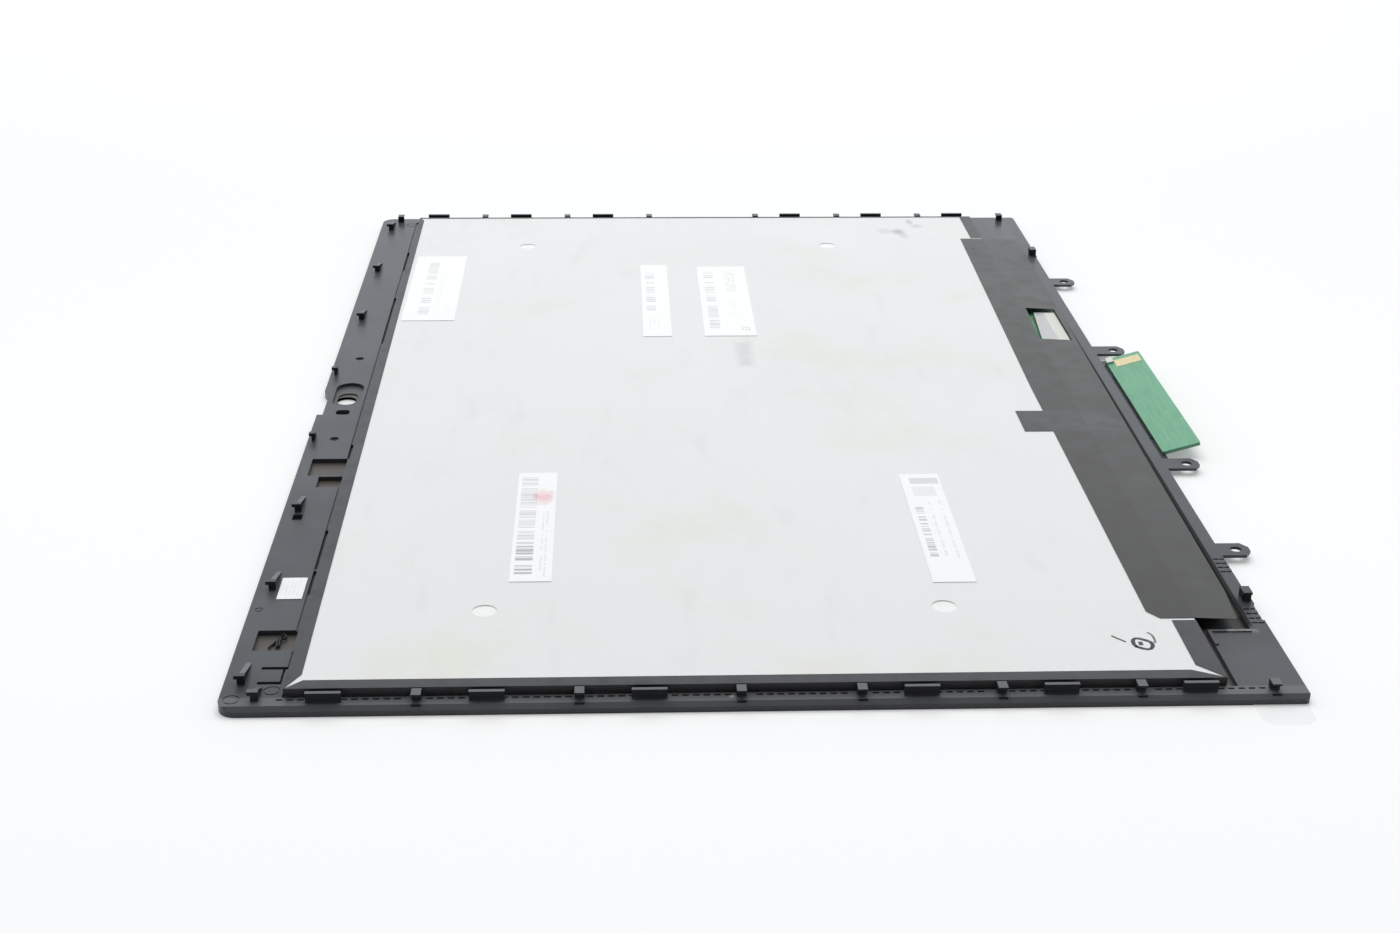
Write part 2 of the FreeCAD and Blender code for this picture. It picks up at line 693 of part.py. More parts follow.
def window_cuts():
    """The display window with the bay for the driver board."""
    near = block(-WINDOW_X, 0, PAD_Y, STRIP_Y, 0, THROUGH)
    far = block(0, WINDOW_X, FAR_PAD_Y, STRIP_Y, 0, THROUGH)
    bay = block(-BAY_X, BAY_X, BAY_Y0, PANEL_Y0, 0, THROUGH)
    return [near, far, bay]


def touch_slot():
    """Slot under the tab rim where the touch flex comes out."""
    half = TOUCH_FLEX_L / 2 + TOUCH_FLEX_SLOT
    x = INNER_TAB_SHIFT
    top = Z_GLASS_BACK + TOUCH_FLEX_T + TOUCH_FLEX_SLOT
    return block(x - half, x + half, Y_TAB - LIP_T, BAY_Y0, 0, top)


def frame_blank():
    """The frame's solid outline, bevelled along the near edge and cleared for the film's pull tab."""
    edge = -X_FAR
    beyond = edge - BEVEL_W
    bevel = prism_y([(beyond, Z_BEVEL), (edge, Z_BEVEL), (edge + BEVEL_W, Z_RIM), (edge + BEVEL_W, THROUGH),
                     (beyond, THROUGH)], Y_TAB - LIP_T, Y_CAMERA + LIP_T)
    tab_y0 = Y_TAB + PULL_TAB_END - GLASS_CLEARANCE
    tab_y1 = Y_TAB + PULL_TAB_END + PULL_TAB_W + GLASS_CLEARANCE
    passage = block(beyond, edge + 2 * LIP_T, tab_y0, tab_y1, 0, FRONT_FILM_T)
    return outline_slab(0, LIP_RAISE, Z_RIM).cut([bevel, passage])


def rim_dents(posts):
    """Small sunk marks in a row along the near rim, clear of its posts."""
    x = -X_FAR + DENT_LINE
    floor = Z_RIM - DENT_DEPTH
    count = int((FRAME_W - 2 * DENT_END) / DENT_PITCH)
    dents = []
    for number in range(count):
        y = Y_TAB + DENT_END + DENT_PITCH * number
        if min(abs(y - post) for post in posts) > DENT_CLEAR:
            dents.append(centred(x, y, DENT_W, DENT_L, floor, THROUGH))
    return dents


def tab_dents():
    """Two short double rows of sunk marks on the tab rim, near the near corner pad."""
    floor = Z_RIM - DENT_DEPTH
    dents = []
    for first in (TAB_DENT_FIRST, TAB_DENT_NEXT):
        for number in range(TAB_DENT_COUNT):
            for row in range(2):
                x = -first - DENT_PITCH * number
                y = Y_TAB + TAB_DENT_LINE + TAB_DENT_ROW * row
                dents.append(centred(x, y, DENT_W, DENT_L, floor, THROUGH))
    return dents


def board_ledge():
    """Low ledge outside the lip, under the touch board's inner edge."""
    half = BOARD_LEDGE_L / 2
    return block(INNER_TAB_SHIFT - half, INNER_TAB_SHIFT + half, Y_TAB - BOARD_LEDGE_W, Y_TAB + LIP_T / 2,
                 LIP_RAISE, BOARD_LEDGE_TOP)


def bezel_frame():
    """The moulded frame: lip, flange, openings, clips, posts, hooks and screw tabs."""
    step_x = BAY_X - TAB_EDGE_STEP_END
    near_clips = edge_stations(UPPER_FIRST, UPPER_PITCH, LOWER_FIRST)
    near_posts = edge_stations(UPPER_FIRST + UPPER_POST_LAG, UPPER_PITCH, LOWER_FIRST + LOWER_POST_LAG)
    near_posts.append(Y_TAB + CORNER_POST_TAB)
    far_clips = edge_stations(FAR_UPPER_FIRST, FAR_UPPER_PITCH, LOWER_FIRST)
    far_posts = edge_stations(FAR_UPPER_FIRST + FAR_UPPER_POST_LAG, FAR_UPPER_PITCH,
                              LOWER_FIRST + LOWER_POST_LAG)
    far_posts += [Y_CAMERA - FAR_POST_CAMERA, Y_TAB + FAR_POST_TAB]
    cuts = [outline_slab(LIP_T, 0, Z_FLANGE), touch_slot()]
    cuts += [block(-step_x, step_x, Y_TAB - LIP_T, Y_TAB + TAB_EDGE_STEP, Z_FLANGE, THROUGH)]
    cuts += window_cuts() + strip_openings() + tongue_slits() + strip_recesses() + ejector_marks()
    cuts += [post_mark(y) for y in near_posts] + rim_dents(near_posts) + tab_dents()
    added = strip_hooks() + both_sides(tab_post()) + [board_ledge()]
    added += [pad_rib(PAD_Y), to_far_side(pad_rib(FAR_PAD_Y))]
    added += [edge_clip(y) for y in near_clips] + [to_far_side(edge_clip(y)) for y in far_clips]
    added += [edge_post(y) for y in near_posts] + [to_far_side(edge_post(y)) for y in far_posts]
    for x, reach in tab_stations():
        added.append(screw_tab(x, reach))
    return frame_blank().cut(cuts).fuse(added).removeSplitter()


def bezel_bond_tape():
    """Tape ring that bonds the frame to the glass."""
    edge = LIP_T + GLASS_CLEARANCE + BOND_TAPE_INSET
    ring = outline_slab(edge, Z_GLASS_BACK, Z_FLANGE)
    window_x = WINDOW_X + BOND_TAPE_INSET
    window_y1 = STRIP_Y + EDGE_RELIEF + BOND_TAPE_INSET
    window = block(-window_x, window_x, PAD_Y - BOND_TAPE_INSET, window_y1, 0, THROUGH)
    bay_x = BAY_X + BOND_TAPE_INSET
    bay = block(-bay_x, bay_x, BAY_Y0 - BOND_TAPE_INSET, PAD_Y, 0, THROUGH)
    return ring.cut([window, bay, touch_slot()] + strip_openings() + tongue_slits())


def optical_bond():
    """Clear adhesive between the cover glass and the cell."""
    return layer(CELL_X - POLARIZER_INSET, CELL_Y0 + CELL_BOND_LEDGE, CELL_Y1 - POLARIZER_INSET,
                 Z_GLASS_BACK, OPTICAL_BOND_T)


def front_polarizer():
    """Polarizer on the front of the cell."""
    return layer(CELL_X - POLARIZER_INSET, CELL_Y0 + CELL_BOND_LEDGE, CELL_Y1 - POLARIZER_INSET,
                 Z_POLARIZER, POLARIZER_T)


def colour_filter_glass():
    """Front glass of the cell, shorter at the bonding ledge."""
    return layer(CELL_X, CELL_Y0 + CELL_BOND_LEDGE, CELL_Y1, Z_COLOUR_GLASS, CELL_GLASS_T)


def tft_glass():
    """Rear glass of the cell, with its bonding ledge at the board side."""
    return layer(CELL_X, CELL_Y0, CELL_Y1, Z_TFT_GLASS, CELL_GLASS_T)


def sheet_in_frame(y0, z, thickness):
    """Sheet inside the panel frame's ledge, from a given edge at the board side."""
    return layer(LEDGE_X - SHEET_CLEARANCE, y0, LEDGE_Y1 - SHEET_CLEARANCE, z, thickness)


def rear_polarizer():
    """Polarizer on the back of the cell."""
    return sheet_in_frame(GUIDE_Y0, Z_REAR_POLARIZER, POLARIZER_T)


def optical_sheet(place):
    """One of the three sheets between the cell and the light guide."""
    return sheet_in_frame(GUIDE_Y0, Z_SHEETS + place * OPTICAL_SHEET_T, OPTICAL_SHEET_T)


def light_guide():
    """Clear light guide plate."""
    return sheet_in_frame(GUIDE_Y0, Z_GUIDE, GUIDE_T)


def reflector_sheet():
    """White sheet behind the light guide and the lamps."""
    return sheet_in_frame(LEDGE_Y0 + SHEET_CLEARANCE, Z_REFLECTOR, REFLECTOR_T)


def led_bar():
    """Flex strip with a row of lamps that shine into the guide."""
    y0 = LEDGE_Y0 + SHEET_CLEARANCE
    half = LEDGE_X - SHEET_CLEARANCE - LED_PITCH / 2
    top = Z_REFLECTOR
    strip = layer(half, y0, y0 + LED_FLEX_W, top - LED_FLEX_T, LED_FLEX_T)
    count = int(2 * half // LED_PITCH)
    lamps = []
    for place in range(count):
        x = (place - (count - 1) / 2) * LED_PITCH
        lamp_y1 = y0 + LED_FLEX_W
        lamps.append(block(x - LED_L / 2, x + LED_L / 2, lamp_y1 - LED_W, lamp_y1,
                           top - LED_FLEX_T - LED_H, top - LED_FLEX_T))
    return strip.fuse(lamps)


def panel_frame():
    """Moulded ring inside the tray: a wall round the cell and a ledge that carries it."""
    wall_x = PANEL_X - PLATE_T
    wall_y1 = PANEL_Y1 - PLATE_T
    ring = block(-wall_x, wall_x, PANEL_Y0, wall_y1, Z_POLARIZER, Z_PLATE)
    cell = block(-wall_x + PANEL_FRAME_WALL, wall_x - PANEL_FRAME_WALL, PANEL_Y0 - PANEL_FRAME_WALL,
                 wall_y1 - PANEL_FRAME_WALL, 0, Z_REAR_POLARIZER)
    stack = block(-LEDGE_X, LEDGE_X, LEDGE_Y0, LEDGE_Y1, 0, THROUGH)
    return ring.cut([cell, stack])


def back_plate():
    """Metal tray of the module: a floor with holes and three folded sides."""
    tray = block(-PANEL_X, PANEL_X, PANEL_Y0, PANEL_Y1, Z_PLATE_BACK - PLATE_SKIRT, Z_PLATE_BACK)
    inside = block(-PANEL_X + PLATE_T, PANEL_X - PLATE_T, PANEL_Y0 - PLATE_T, PANEL_Y1 - PLATE_T, 0, Z_PLATE)
    holes = []
    for side in (-1, 1):
        x = side * (PANEL_X - PLATE_HOLE_END)
        for y in (PANEL_Y1 - PLATE_HOLE_CAMERA, PANEL_Y0 + PLATE_HOLE_TAB):
            holes.append(disc(x, y, PLATE_HOLE_D, Z_PLATE, THROUGH))
    return tray.cut([inside] + holes)


def folded_tape_x(edge_y, inward, width, x0, x1, end_cuts):
    """Tape folded over a long side: a leg on the back and a leg down the side."""
    outer = edge_y - inward * TAPE_T
    inner = edge_y + inward * width
    top = Z_PLATE_BACK + TAPE_T
    profile = [(outer, top), (inner, top), (inner, Z_PLATE_BACK), (edge_y, Z_PLATE_BACK),
               (edge_y, Z_PLATE_BACK - TAPE_DROP), (outer, Z_PLATE_BACK - TAPE_DROP)]
    tape = prism_x(profile, x0, x1)
    return tape.cut(end_cuts) if end_cuts else tape


def mitre(corner_x, corner_y, inward_x, inward_y, along_x, lean):
    """Wedge that trims a tape's leg on the back to a leaning mitre from the panel's corner."""
    reach = 3 * max(TAPE_LOWER_W, TAPE_SHORT_W, TAPE_CAMERA_W)
    span_x = inward_x * reach
    span_y = inward_y * reach
    if along_x:
        points = [(corner_x, corner_y), (corner_x + span_x * lean, corner_y + span_y),
                  (corner_x - span_x, corner_y + span_y), (corner_x - span_x, corner_y)]
    else:
        points = [(corner_x, corner_y), (corner_x + span_x, corner_y + span_y * lean),
                  (corner_x + span_x, corner_y - span_y), (corner_x, corner_y - span_y)]
    return prism_z(points, Z_PLATE_BACK, THROUGH)


def camera_edge_tape():
    """Tape over the panel's camera side, mitred at both ends."""
    cuts = both_sides(mitre(-PANEL_X, PANEL_Y1, 1, -1, True, TAPE_MITRE_LEAN))
    near_y = PANEL_Y1 - TAPE_CAMERA_W
    far_y = PANEL_Y1 - TAPE_CAMERA_FAR_W
    skew = [(-PANEL_X, near_y), (PANEL_X, near_y - TAPE_T), (PANEL_X, far_y)]
    cuts.append(prism_z(skew, Z_PLATE_BACK, THROUGH))
    return folded_tape_x(PANEL_Y1, -1, TAPE_CAMERA_W, -PANEL_X, PANEL_X, cuts)


def short_edge_tape(width, lean):
    """Tape over the panel's near side, mitred at both ends, with a given lean at the board side."""
    outer = -PANEL_X - TAPE_T
    inner = -PANEL_X + width
    top = Z_PLATE_BACK + TAPE_T
    drop = Z_PLATE_BACK - TAPE_DROP
    profile = [(outer, drop), (outer, top), (inner, top), (inner, Z_PLATE_BACK), (-PANEL_X, Z_PLATE_BACK),
               (-PANEL_X, drop)]
    tape = prism_y(profile, PANEL_Y0, PANEL_Y1)
    return tape.cut([mitre(-PANEL_X, PANEL_Y1, 1, -1, False, TAPE_MITRE_STEEP),
                     mitre(-PANEL_X, PANEL_Y0, 1, 1, False, lean)])


def near_edge_tape():
    """Tape over the panel's near side."""
    return short_edge_tape(TAPE_SHORT_W, TAPE_MITRE_LEAN)


def far_edge_tape():
    """Tape over the panel's far side, narrower on the back."""
    return to_far_side(short_edge_tape(TAPE_FAR_W, TAPE_BUTT_CLEAR / TAPE_BUTT_LEAN))


def lower_tape(width, lean):
    """Short tape over the panel's board side, from the near corner to the film."""
    cuts = [mitre(-PANEL_X, PANEL_Y0, 1, 1, True, lean)]
    return folded_tape_x(PANEL_Y0, 1, width, -PANEL_X, -FILM_X - TAPE_MITRE_GAP, cuts)


def lower_near_tape():
    """Short tape at the near corner, with a full mitre."""
    return lower_tape(TAPE_LOWER_W, TAPE_MITRE_STEEP)


def lower_far_tape():
    """Short tape at the far corner, narrower and cut nearly square."""
    return to_far_side(lower_tape(TAPE_LOWER_FAR_W, TAPE_BUTT_LEAN))


def driver_board_tape():
    """Tape that holds the driver board to the glass."""
    return block(-BOARD_X + BOARD_TAPE_INSET, BOARD_X - BOARD_TAPE_INSET, BOARD_Y0 + BOARD_TAPE_INSET,
                 BOARD_Y1 - BOARD_TAPE_INSET, Z_GLASS_BACK, Z_BOARD)


def driver_board():
    """Long narrow board below the panel."""
    return block(-BOARD_X, BOARD_X, BOARD_Y0, BOARD_Y1, Z_BOARD, Z_BOARD_TOP)


def column_flex(place):
    """Flex from the glass ledge to the driver board, bent down to the board's level."""
    x = (place - (COLUMN_FLEX_COUNT - 1) / 2) * COLUMN_FLEX_PITCH
    glass_y = CELL_Y0 + COLUMN_FLEX_LAP
    glass_z = Z_TFT_GLASS
    board_z = Z_BOARD_TOP
    board_y = BOARD_Y1 - COLUMN_FLEX_LAP
    t = COLUMN_FLEX_T
    profile = [
        (glass_y, glass_z), (PANEL_Y0, glass_z), (BOARD_Y1, board_z + t), (board_y, board_z + t),
        (board_y, board_z), (BOARD_Y1, board_z), (PANEL_Y0, glass_z - t), (glass_y, glass_z - t),
    ]
    return prism_x(profile, x - COLUMN_FLEX_W / 2, x + COLUMN_FLEX_W / 2)


def on_board(x, length, width, height):
    """Component on the driver board, on the line of parts along its outer half."""
    return centred(x, BOARD_Y0 + PART_LINE, length, width, Z_BOARD_TOP, Z_BOARD_TOP + height)


def timing_controller():
    """Square chip that drives the panel."""
    return on_board(CHIP_X, CHIP_SIDE, CHIP_SIDE, CHIP_H)


def power_inductor():
    """Coil of the lamp supply, its corners rounded."""
    return cornered(on_board(INDUCTOR_X, INDUCTOR_SIDE, INDUCTOR_SIDE, CHIP_H), INDUCTOR_SIDE / 5)


def capacitors():
    """Row of small capacitors."""
    row = []
    for place in range(CAPACITOR_COUNT):
        x = BOARD_X - CAPACITOR_END + place * CAPACITOR_PITCH
        row.append(on_board(x, CAPACITOR_L, CAPACITOR_W, CAPACITOR_H))
    return Part.makeCompound(row)


def connector_span():
    """Inner and outer Y of the display connector on the board."""
    y0 = BOARD_Y0 + CONNECTOR_EDGE
    return y0, y0 + CONNECTOR_W


def display_connector():
    """Receptacle for the display cable: an open-mouthed housing."""
    y0, y1 = connector_span()
    half = CONNECTOR_L / 2
    housing = block(CONNECTOR_X - half, CONNECTOR_X + half, y0, y1, Z_BOARD_TOP, Z_BOARD_TOP + CONNECTOR_H)
    mouth_half = half - 2 * CONNECTOR_WALL
    mouth_z = Z_BOARD_TOP + CONNECTOR_WALL / 2
    mouth = block(CONNECTOR_X - mouth_half, CONNECTOR_X + mouth_half, y0 - CONNECTOR_WALL,
                  y1 - CONNECTOR_SHELL_W, mouth_z, mouth_z + CONNECTOR_MOUTH)
    return housing.cut(mouth)


def connector_shell():
    """Metal shell over the inner half of the connector, folded down at its back, with a skew cover."""
    y0, y1 = connector_span()
    x0 = CONNECTOR_X - CONNECTOR_L / 2
    x1 = x0 + CONNECTOR_L
    top = Z_BOARD_TOP + CONNECTOR_H
    front = y1 - CONNECTOR_SHELL_W
    back = y1 + CONNECTOR_SHELL_T
    cover = prism_z([(x0, front), (x1, front), (x1, back), (x0, back + CONNECTOR_SHELL_SKEW)],
                    top, top + CONNECTOR_SHELL_T)
    return cover.fuse(block(x0, x1, y1, back, Z_BOARD_TOP, top)).removeSplitter()


def board_cover_film():
    """Dark film stuck to the panel's back, sloping down over the driver board."""
    top = Z_PLATE_BACK + FILM_T
    lap = max(FILM_LAP_NEAR, FILM_LAP_MIDDLE, FILM_LAP_FAR)
    fold = PANEL_Y0 - TAPE_T - FILM_T
    bend = math.atan2(Z_PLATE_BACK - Z_FILM, fold - FILM_Y0)
    under = FILM_T * math.tan(bend / 2)
    profile = [
        (PANEL_Y0 + lap, Z_PLATE_BACK), (PANEL_Y0 + lap, top), (fold, top), (FILM_Y0, Z_FILM + FILM_T),
        (FILM_Y0, Z_FILM), (fold + under, Z_PLATE_BACK),
    ]
    film = prism_x(profile, -FILM_X, FILM_X)
    edge_near = PANEL_Y0 + FILM_LAP_NEAR
    edge_middle = PANEL_Y0 + FILM_LAP_MIDDLE
    edge_far = PANEL_Y0 + FILM_LAP_FAR
    beyond = edge_near + lap
    skew = prism_z([(-FILM_X, edge_near), (0, edge_middle), (FILM_X, edge_far), (FILM_X, beyond),
                    (-FILM_X, beyond)], Z_PLATE_BACK, THROUGH)
    corner = prism_z([(-FILM_X, edge_near - FILM_CHAMFER_Y), (-FILM_X + FILM_CHAMFER_X, edge_near + FILM_T),
                      (-FILM_X, edge_near + FILM_T)], Z_PLATE_BACK, THROUGH)
    window_y0 = connector_span()[0] - WINDOW_OUTER
    window_y1 = connector_span()[1] + WINDOW_INNER
    window_x0 = CONNECTOR_X - CONNECTOR_L / 2 - WINDOW_MARGIN
    window_x1 = CONNECTOR_X + CONNECTOR_L / 2 + WINDOW_MARGIN
    window = prism_z([(window_x0, window_y0), (window_x1, window_y0), (window_x1, window_y1),
                      (window_x0, window_y1 + WINDOW_SKEW)], 0, THROUGH)
    under_y = FILM_Y0 - FILM_T
    near_y = BAY_Y0 + FILM_RIM_GAP
    taper = prism_z([(-FILM_X, under_y), (FILM_X, under_y), (FILM_X, FILM_Y0),
                     (-FILM_X + FILM_TAPER_L, near_y), (-FILM_X, near_y + FILM_TAPER_W)], 0, THROUGH)
    share = (FILM_TAB_X + FILM_X) / FILM_X
    tab_y = edge_near + share * (edge_middle - edge_near)
    tab = block(FILM_TAB_X - FILM_TAB_L / 2, FILM_TAB_X + FILM_TAB_L / 2, PANEL_Y0, tab_y + FILM_TAB_REACH,
                Z_PLATE_BACK, top)
    return film.cut([skew, corner, window, taper]).fuse(tab).removeSplitter()


def slanted(shape):
    """Turn a flat touch board piece to its slant, about its inner lower edge."""
    hinge = V(0, Y_TAB - TOUCH_BOARD_GAP, Z_GLASS_BACK + TOUCH_FLEX_T)
    turned = shape.copy()
    turned.rotate(hinge, V(1, 0, 0), -TOUCH_BOARD_SLANT)
    return turned


def touch_board():
    """Touch controller board, slanted up from the rim."""
    y = Y_TAB - TOUCH_BOARD_GAP - TOUCH_BOARD_W / 2
    z0 = Z_GLASS_BACK + TOUCH_FLEX_T
    board = centred(INNER_TAB_SHIFT, y, TOUCH_BOARD_L, TOUCH_BOARD_W, z0, z0 + TOUCH_BOARD_T)
    return slanted(cornered(board, TOUCH_BOARD_R))


def on_touch_board(x0, length, edge, width, height):
    """Piece on the touch board's upper face, placed from its inner edge."""
    y1 = Y_TAB - TOUCH_BOARD_GAP - edge
    z0 = Z_GLASS_BACK + TOUCH_FLEX_T + TOUCH_BOARD_T
    return slanted(block(x0, x0 + length, y1 - width, y1, z0, z0 + height))


def ground_pad():
    """Gold pad across the far end of the touch board."""
    x1 = INNER_TAB_SHIFT + TOUCH_BOARD_L / 2 - PAD_END
    return on_touch_board(x1 - PAD_L, PAD_L, TOUCH_BOARD_W - PAD_EDGE - PAD_W, PAD_W, PAD_T)


def touch_connector():
    """Small white connector at the far inner corner of the touch board."""
    x1 = INNER_TAB_SHIFT + TOUCH_BOARD_L / 2 - TOUCH_BOARD_R / 2
    return on_touch_board(x1 - TOUCH_CONNECTOR_L, TOUCH_CONNECTOR_L, 0, TOUCH_CONNECTOR_W, TOUCH_CONNECTOR_H)


def touch_controller():
    """Chip on the underside of the touch board, towards its outer edge."""
    y0 = Y_TAB - TOUCH_BOARD_GAP - TOUCH_BOARD_W + TOUCH_CHIP_EDGE
    z1 = Z_GLASS_BACK + TOUCH_FLEX_T
    x0 = INNER_TAB_SHIFT - TOUCH_BOARD_L / 2 + TOUCH_CHIP_END
    return slanted(block(x0, x0 + TOUCH_CHIP_L, y0, y0 + TOUCH_CHIP_W, z1 - TOUCH_CHIP_H, z1))


def touch_flex():
    """Flex from the back of the glass, out under the rim and up under the touch board."""
    t = TOUCH_FLEX_T
    angle = math.radians(TOUCH_BOARD_SLANT)
    bend_y = Y_TAB - TOUCH_BOARD_GAP
    root_y = Y_TAB + TOUCH_FLEX_ROOT
    low = Z_GLASS_BACK
    run_y = TOUCH_FLEX_LAP * math.cos(angle)
    run_z = TOUCH_FLEX_LAP * math.sin(angle)
    lower_bend = bend_y - t * math.tan(angle / 2)
    drop_y = t * math.sin(angle)
    drop_z = t * math.cos(angle)
    profile = [
        (root_y, low), (root_y, low + t), (bend_y, low + t), (bend_y - run_y, low + t + run_z),
        (bend_y - run_y - drop_y, low + t + run_z - drop_z), (lower_bend, low),
    ]
    half = TOUCH_FLEX_L / 2
    return prism_x(profile, INNER_TAB_SHIFT - half, INNER_TAB_SHIFT + half)


def plate_label(x0, y, length, width):
    """Paper label on the metal back, placed by its near end and middle line."""
    return block(x0, x0 + length, y - width / 2, y + width / 2, Z_PLATE_BACK, Z_PLATE_BACK + LABEL_T)


def corner_label():
    """Large label beside the camera side tape."""
    y = PANEL_Y1 - TAPE_CAMERA_W - CORNER_LABEL_GAP - CORNER_LABEL_W / 2
    return plate_label(PANEL_X - CORNER_LABEL_END - CORNER_LABEL_L, y, CORNER_LABEL_L, CORNER_LABEL_W)


def upper_label():
    """Long label at the middle of the far half."""
    return plate_label(PANEL_X - UPPER_LABEL_END - UPPER_LABEL_L, panel_middle() + UPPER_LABEL_Y,
                       UPPER_LABEL_L, UPPER_LABEL_W)


def lower_label():
    """Wide label below the upper one."""
    return plate_label(PANEL_X - LOWER_LABEL_END - LOWER_LABEL_L, panel_middle() + LOWER_LABEL_Y,
                       LOWER_LABEL_L, LOWER_LABEL_W)


def stamp_label():
    """Label of the near half towards the camera side."""
    return plate_label(-PANEL_X + STAMP_LABEL_END, panel_middle() + STAMP_LABEL_Y,
                       STAMP_LABEL_L, STAMP_LABEL_W)


def code_label():
    """Label of the near half towards the board side."""
    return plate_label(-PANEL_X + CODE_LABEL_END, panel_middle() + CODE_LABEL_Y, CODE_LABEL_L, CODE_LABEL_W)


def panel_middle():
    """Middle line of the panel across its width."""
    return (PANEL_Y0 + PANEL_Y1) / 2


def bezel_label():
    """Small label on the camera strip."""
    x0 = -X_FAR + BEZEL_LABEL_END
    y = Y_CAMERA - BEZEL_LABEL_LINE
    return block(x0, x0 + BEZEL_LABEL_L, y - BEZEL_LABEL_W / 2, y + BEZEL_LABEL_W / 2, Z_RIM, Z_RIM + LABEL_T)


PIECES = [
    front_film, cover_glass, bezel_frame, bezel_bond_tape,
    optical_bond, front_polarizer, colour_filter_glass, tft_glass, rear_polarizer,
    light_guide, reflector_sheet, led_bar, panel_frame, back_plate,
    camera_edge_tape, near_edge_tape, far_edge_tape, lower_near_tape, lower_far_tape,
    driver_board_tape, driver_board, timing_controller, power_inductor, capacitors,
    display_connector, connector_shell, board_cover_film,
    touch_board, ground_pad, touch_connector, touch_controller, touch_flex,
    corner_label, upper_label, lower_label, stamp_label, code_label, bezel_label,
]
SHEETS = ["prism_sheet_outer", "prism_sheet_inner", "diffuser_sheet"]


def main():
    """Make every piece and write it to its own file."""
    os.makedirs("parts", exist_ok=True)
    shapes = {piece.__name__: piece() for piece in PIECES}
    for place, name in enumerate(SHEETS):
        shapes[name] = optical_sheet(place)
    for place in range(COLUMN_FLEX_COUNT):
        shapes["column_flex_%d" % (place + 1)] = column_flex(place)
    for name, shape in shapes.items():
        shape.exportStep("parts/%s.step" % name)


main()
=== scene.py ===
"""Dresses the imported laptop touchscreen: finishes for every solid, fine pieces and the studio."""

import math

import bmesh
import bpy
from bpy.props import FloatProperty, FloatVectorProperty, IntProperty, PointerProperty
from mathutils import Matrix, Vector


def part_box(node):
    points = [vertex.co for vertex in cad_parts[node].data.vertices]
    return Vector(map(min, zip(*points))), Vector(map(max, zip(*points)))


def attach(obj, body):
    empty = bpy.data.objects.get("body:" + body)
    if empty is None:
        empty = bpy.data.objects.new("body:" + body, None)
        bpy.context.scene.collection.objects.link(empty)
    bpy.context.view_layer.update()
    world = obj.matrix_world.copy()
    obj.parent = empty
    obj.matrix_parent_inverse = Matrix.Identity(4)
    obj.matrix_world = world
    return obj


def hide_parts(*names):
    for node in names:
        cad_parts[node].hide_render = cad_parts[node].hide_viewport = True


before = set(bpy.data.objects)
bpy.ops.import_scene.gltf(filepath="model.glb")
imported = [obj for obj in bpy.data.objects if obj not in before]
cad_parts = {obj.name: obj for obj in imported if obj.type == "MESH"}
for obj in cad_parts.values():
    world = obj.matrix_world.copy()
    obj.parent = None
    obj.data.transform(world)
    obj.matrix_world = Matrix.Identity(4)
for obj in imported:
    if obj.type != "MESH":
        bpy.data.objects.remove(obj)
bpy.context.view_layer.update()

bl_info = {
    "name": "Laptop Touchscreen Dresser",
    "version": (1, 0, 0),
    "blender": (4, 5, 0),
    "location": "View3D > Sidebar > Touchscreen",
    "description": "Gives the bare touchscreen solids their finishes, fine pieces and studio",
    "category": "Object",
}

BODY = "root"
MM = 0.001

# Heights in metres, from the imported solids
PLATE_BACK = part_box("back_plate")[1].z
BOARD_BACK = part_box("driver_board")[1].z
GLASS_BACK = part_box("cover_glass")[1].z
CLIP_HEIGHT = 2.15 * MM
RIM_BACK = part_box("bezel_frame")[1].z - CLIP_HEIGHT

# Spots in millimetres: middle, then half lengths in x and y
RIM_FLECK = (-153.4, 6.9, 0.9, 0.8)
FILM_FOLD = (-114.5, -91.5, 4.5, 5.5)
CAMERA_WINDOW = (-0.3, 97.0, 2.6, 2.5)
STAMP_BLOT = (-66.2, 44.7, 4.8, 2.8)

# Rectangles in millimetres: x from and to, y from and to
# The first rectangle is a painted highlight: a pale glint along the rib of the near corner pad
PAINTED_RIB_GLINT = (-130.5, -129.4, -100.3, -94.0)
PLATE_RUB = (16.0, 34.0, -8.2, -4.4)
GLASS_SHADE = (-127.4, -122.0, -99.4, -86.0)

# Spans and limits of soft steps in millimetres, from and to
CORNER_PAD_X = (131.5, 151.5)
CORNER_PAD_Y = (-99.6, -93.4)
NEAR_LEDGE_X = (-152.2, -151.4)
# The next three lay a painted shadow: a dark line on the rim beside the long edge of the board's cover
# film
FILM_SHADOW_Y = (-99.78, -99.0)
FILM_SHADOW_START_X = (-129.0, -127.0)
FILM_SHADOW_FADE_X = (10.0, 70.0)
FILM_STRIP_X = (-30.0, -16.6)
ABOVE_RIM = (0.27, 0.40)
FLOOR_DIM_X = (-150.0, 260.0)
FLOOR_FADE = (650.0, 1500.0)

# Limits of how far a surface faces up
FACES_UP = (0.80, 0.95)
LEANS_UP = (0.60, 0.90)

# Sizes of the fine pieces in metres
ACTIVE_INSET = 3.0 * MM
FILM_INSET = 0.5 * MM
TAB_WIDTH = 10.4 * MM
PICK_SLACK = 0.1 * MM
CONTACT_SIZE = (0.22 * MM, 0.9 * MM, 0.12 * MM)
CONTACT_AHEAD = 0.25 * MM
CONTACT_LIFT = 0.06 * MM
CONTACT_RISE = (0.0, -0.25 * MM, 0.35 * MM)
CONTACT_BEVEL = 0.02 * MM

# Counts, and shares of a strand's or pen stroke's width
TAB_SEGMENTS = 8
STRAND_SIDES = 10
STRAND_REST = 0.65
STRAND_STACK = 0.25
THIN_PEN = 0.55

# Studio: sensor in millimetres, key light in metres, limits of the world's heading
SENSOR_WIDTH = 36.0
KEY_PLACE = (0.55, 0.0, 1.2)
KEY_SIZE = (1.4, 1.6)
FAR_SIDE = (-0.6, 0.6)
LOW_DOWN = (0.05, 0.85)


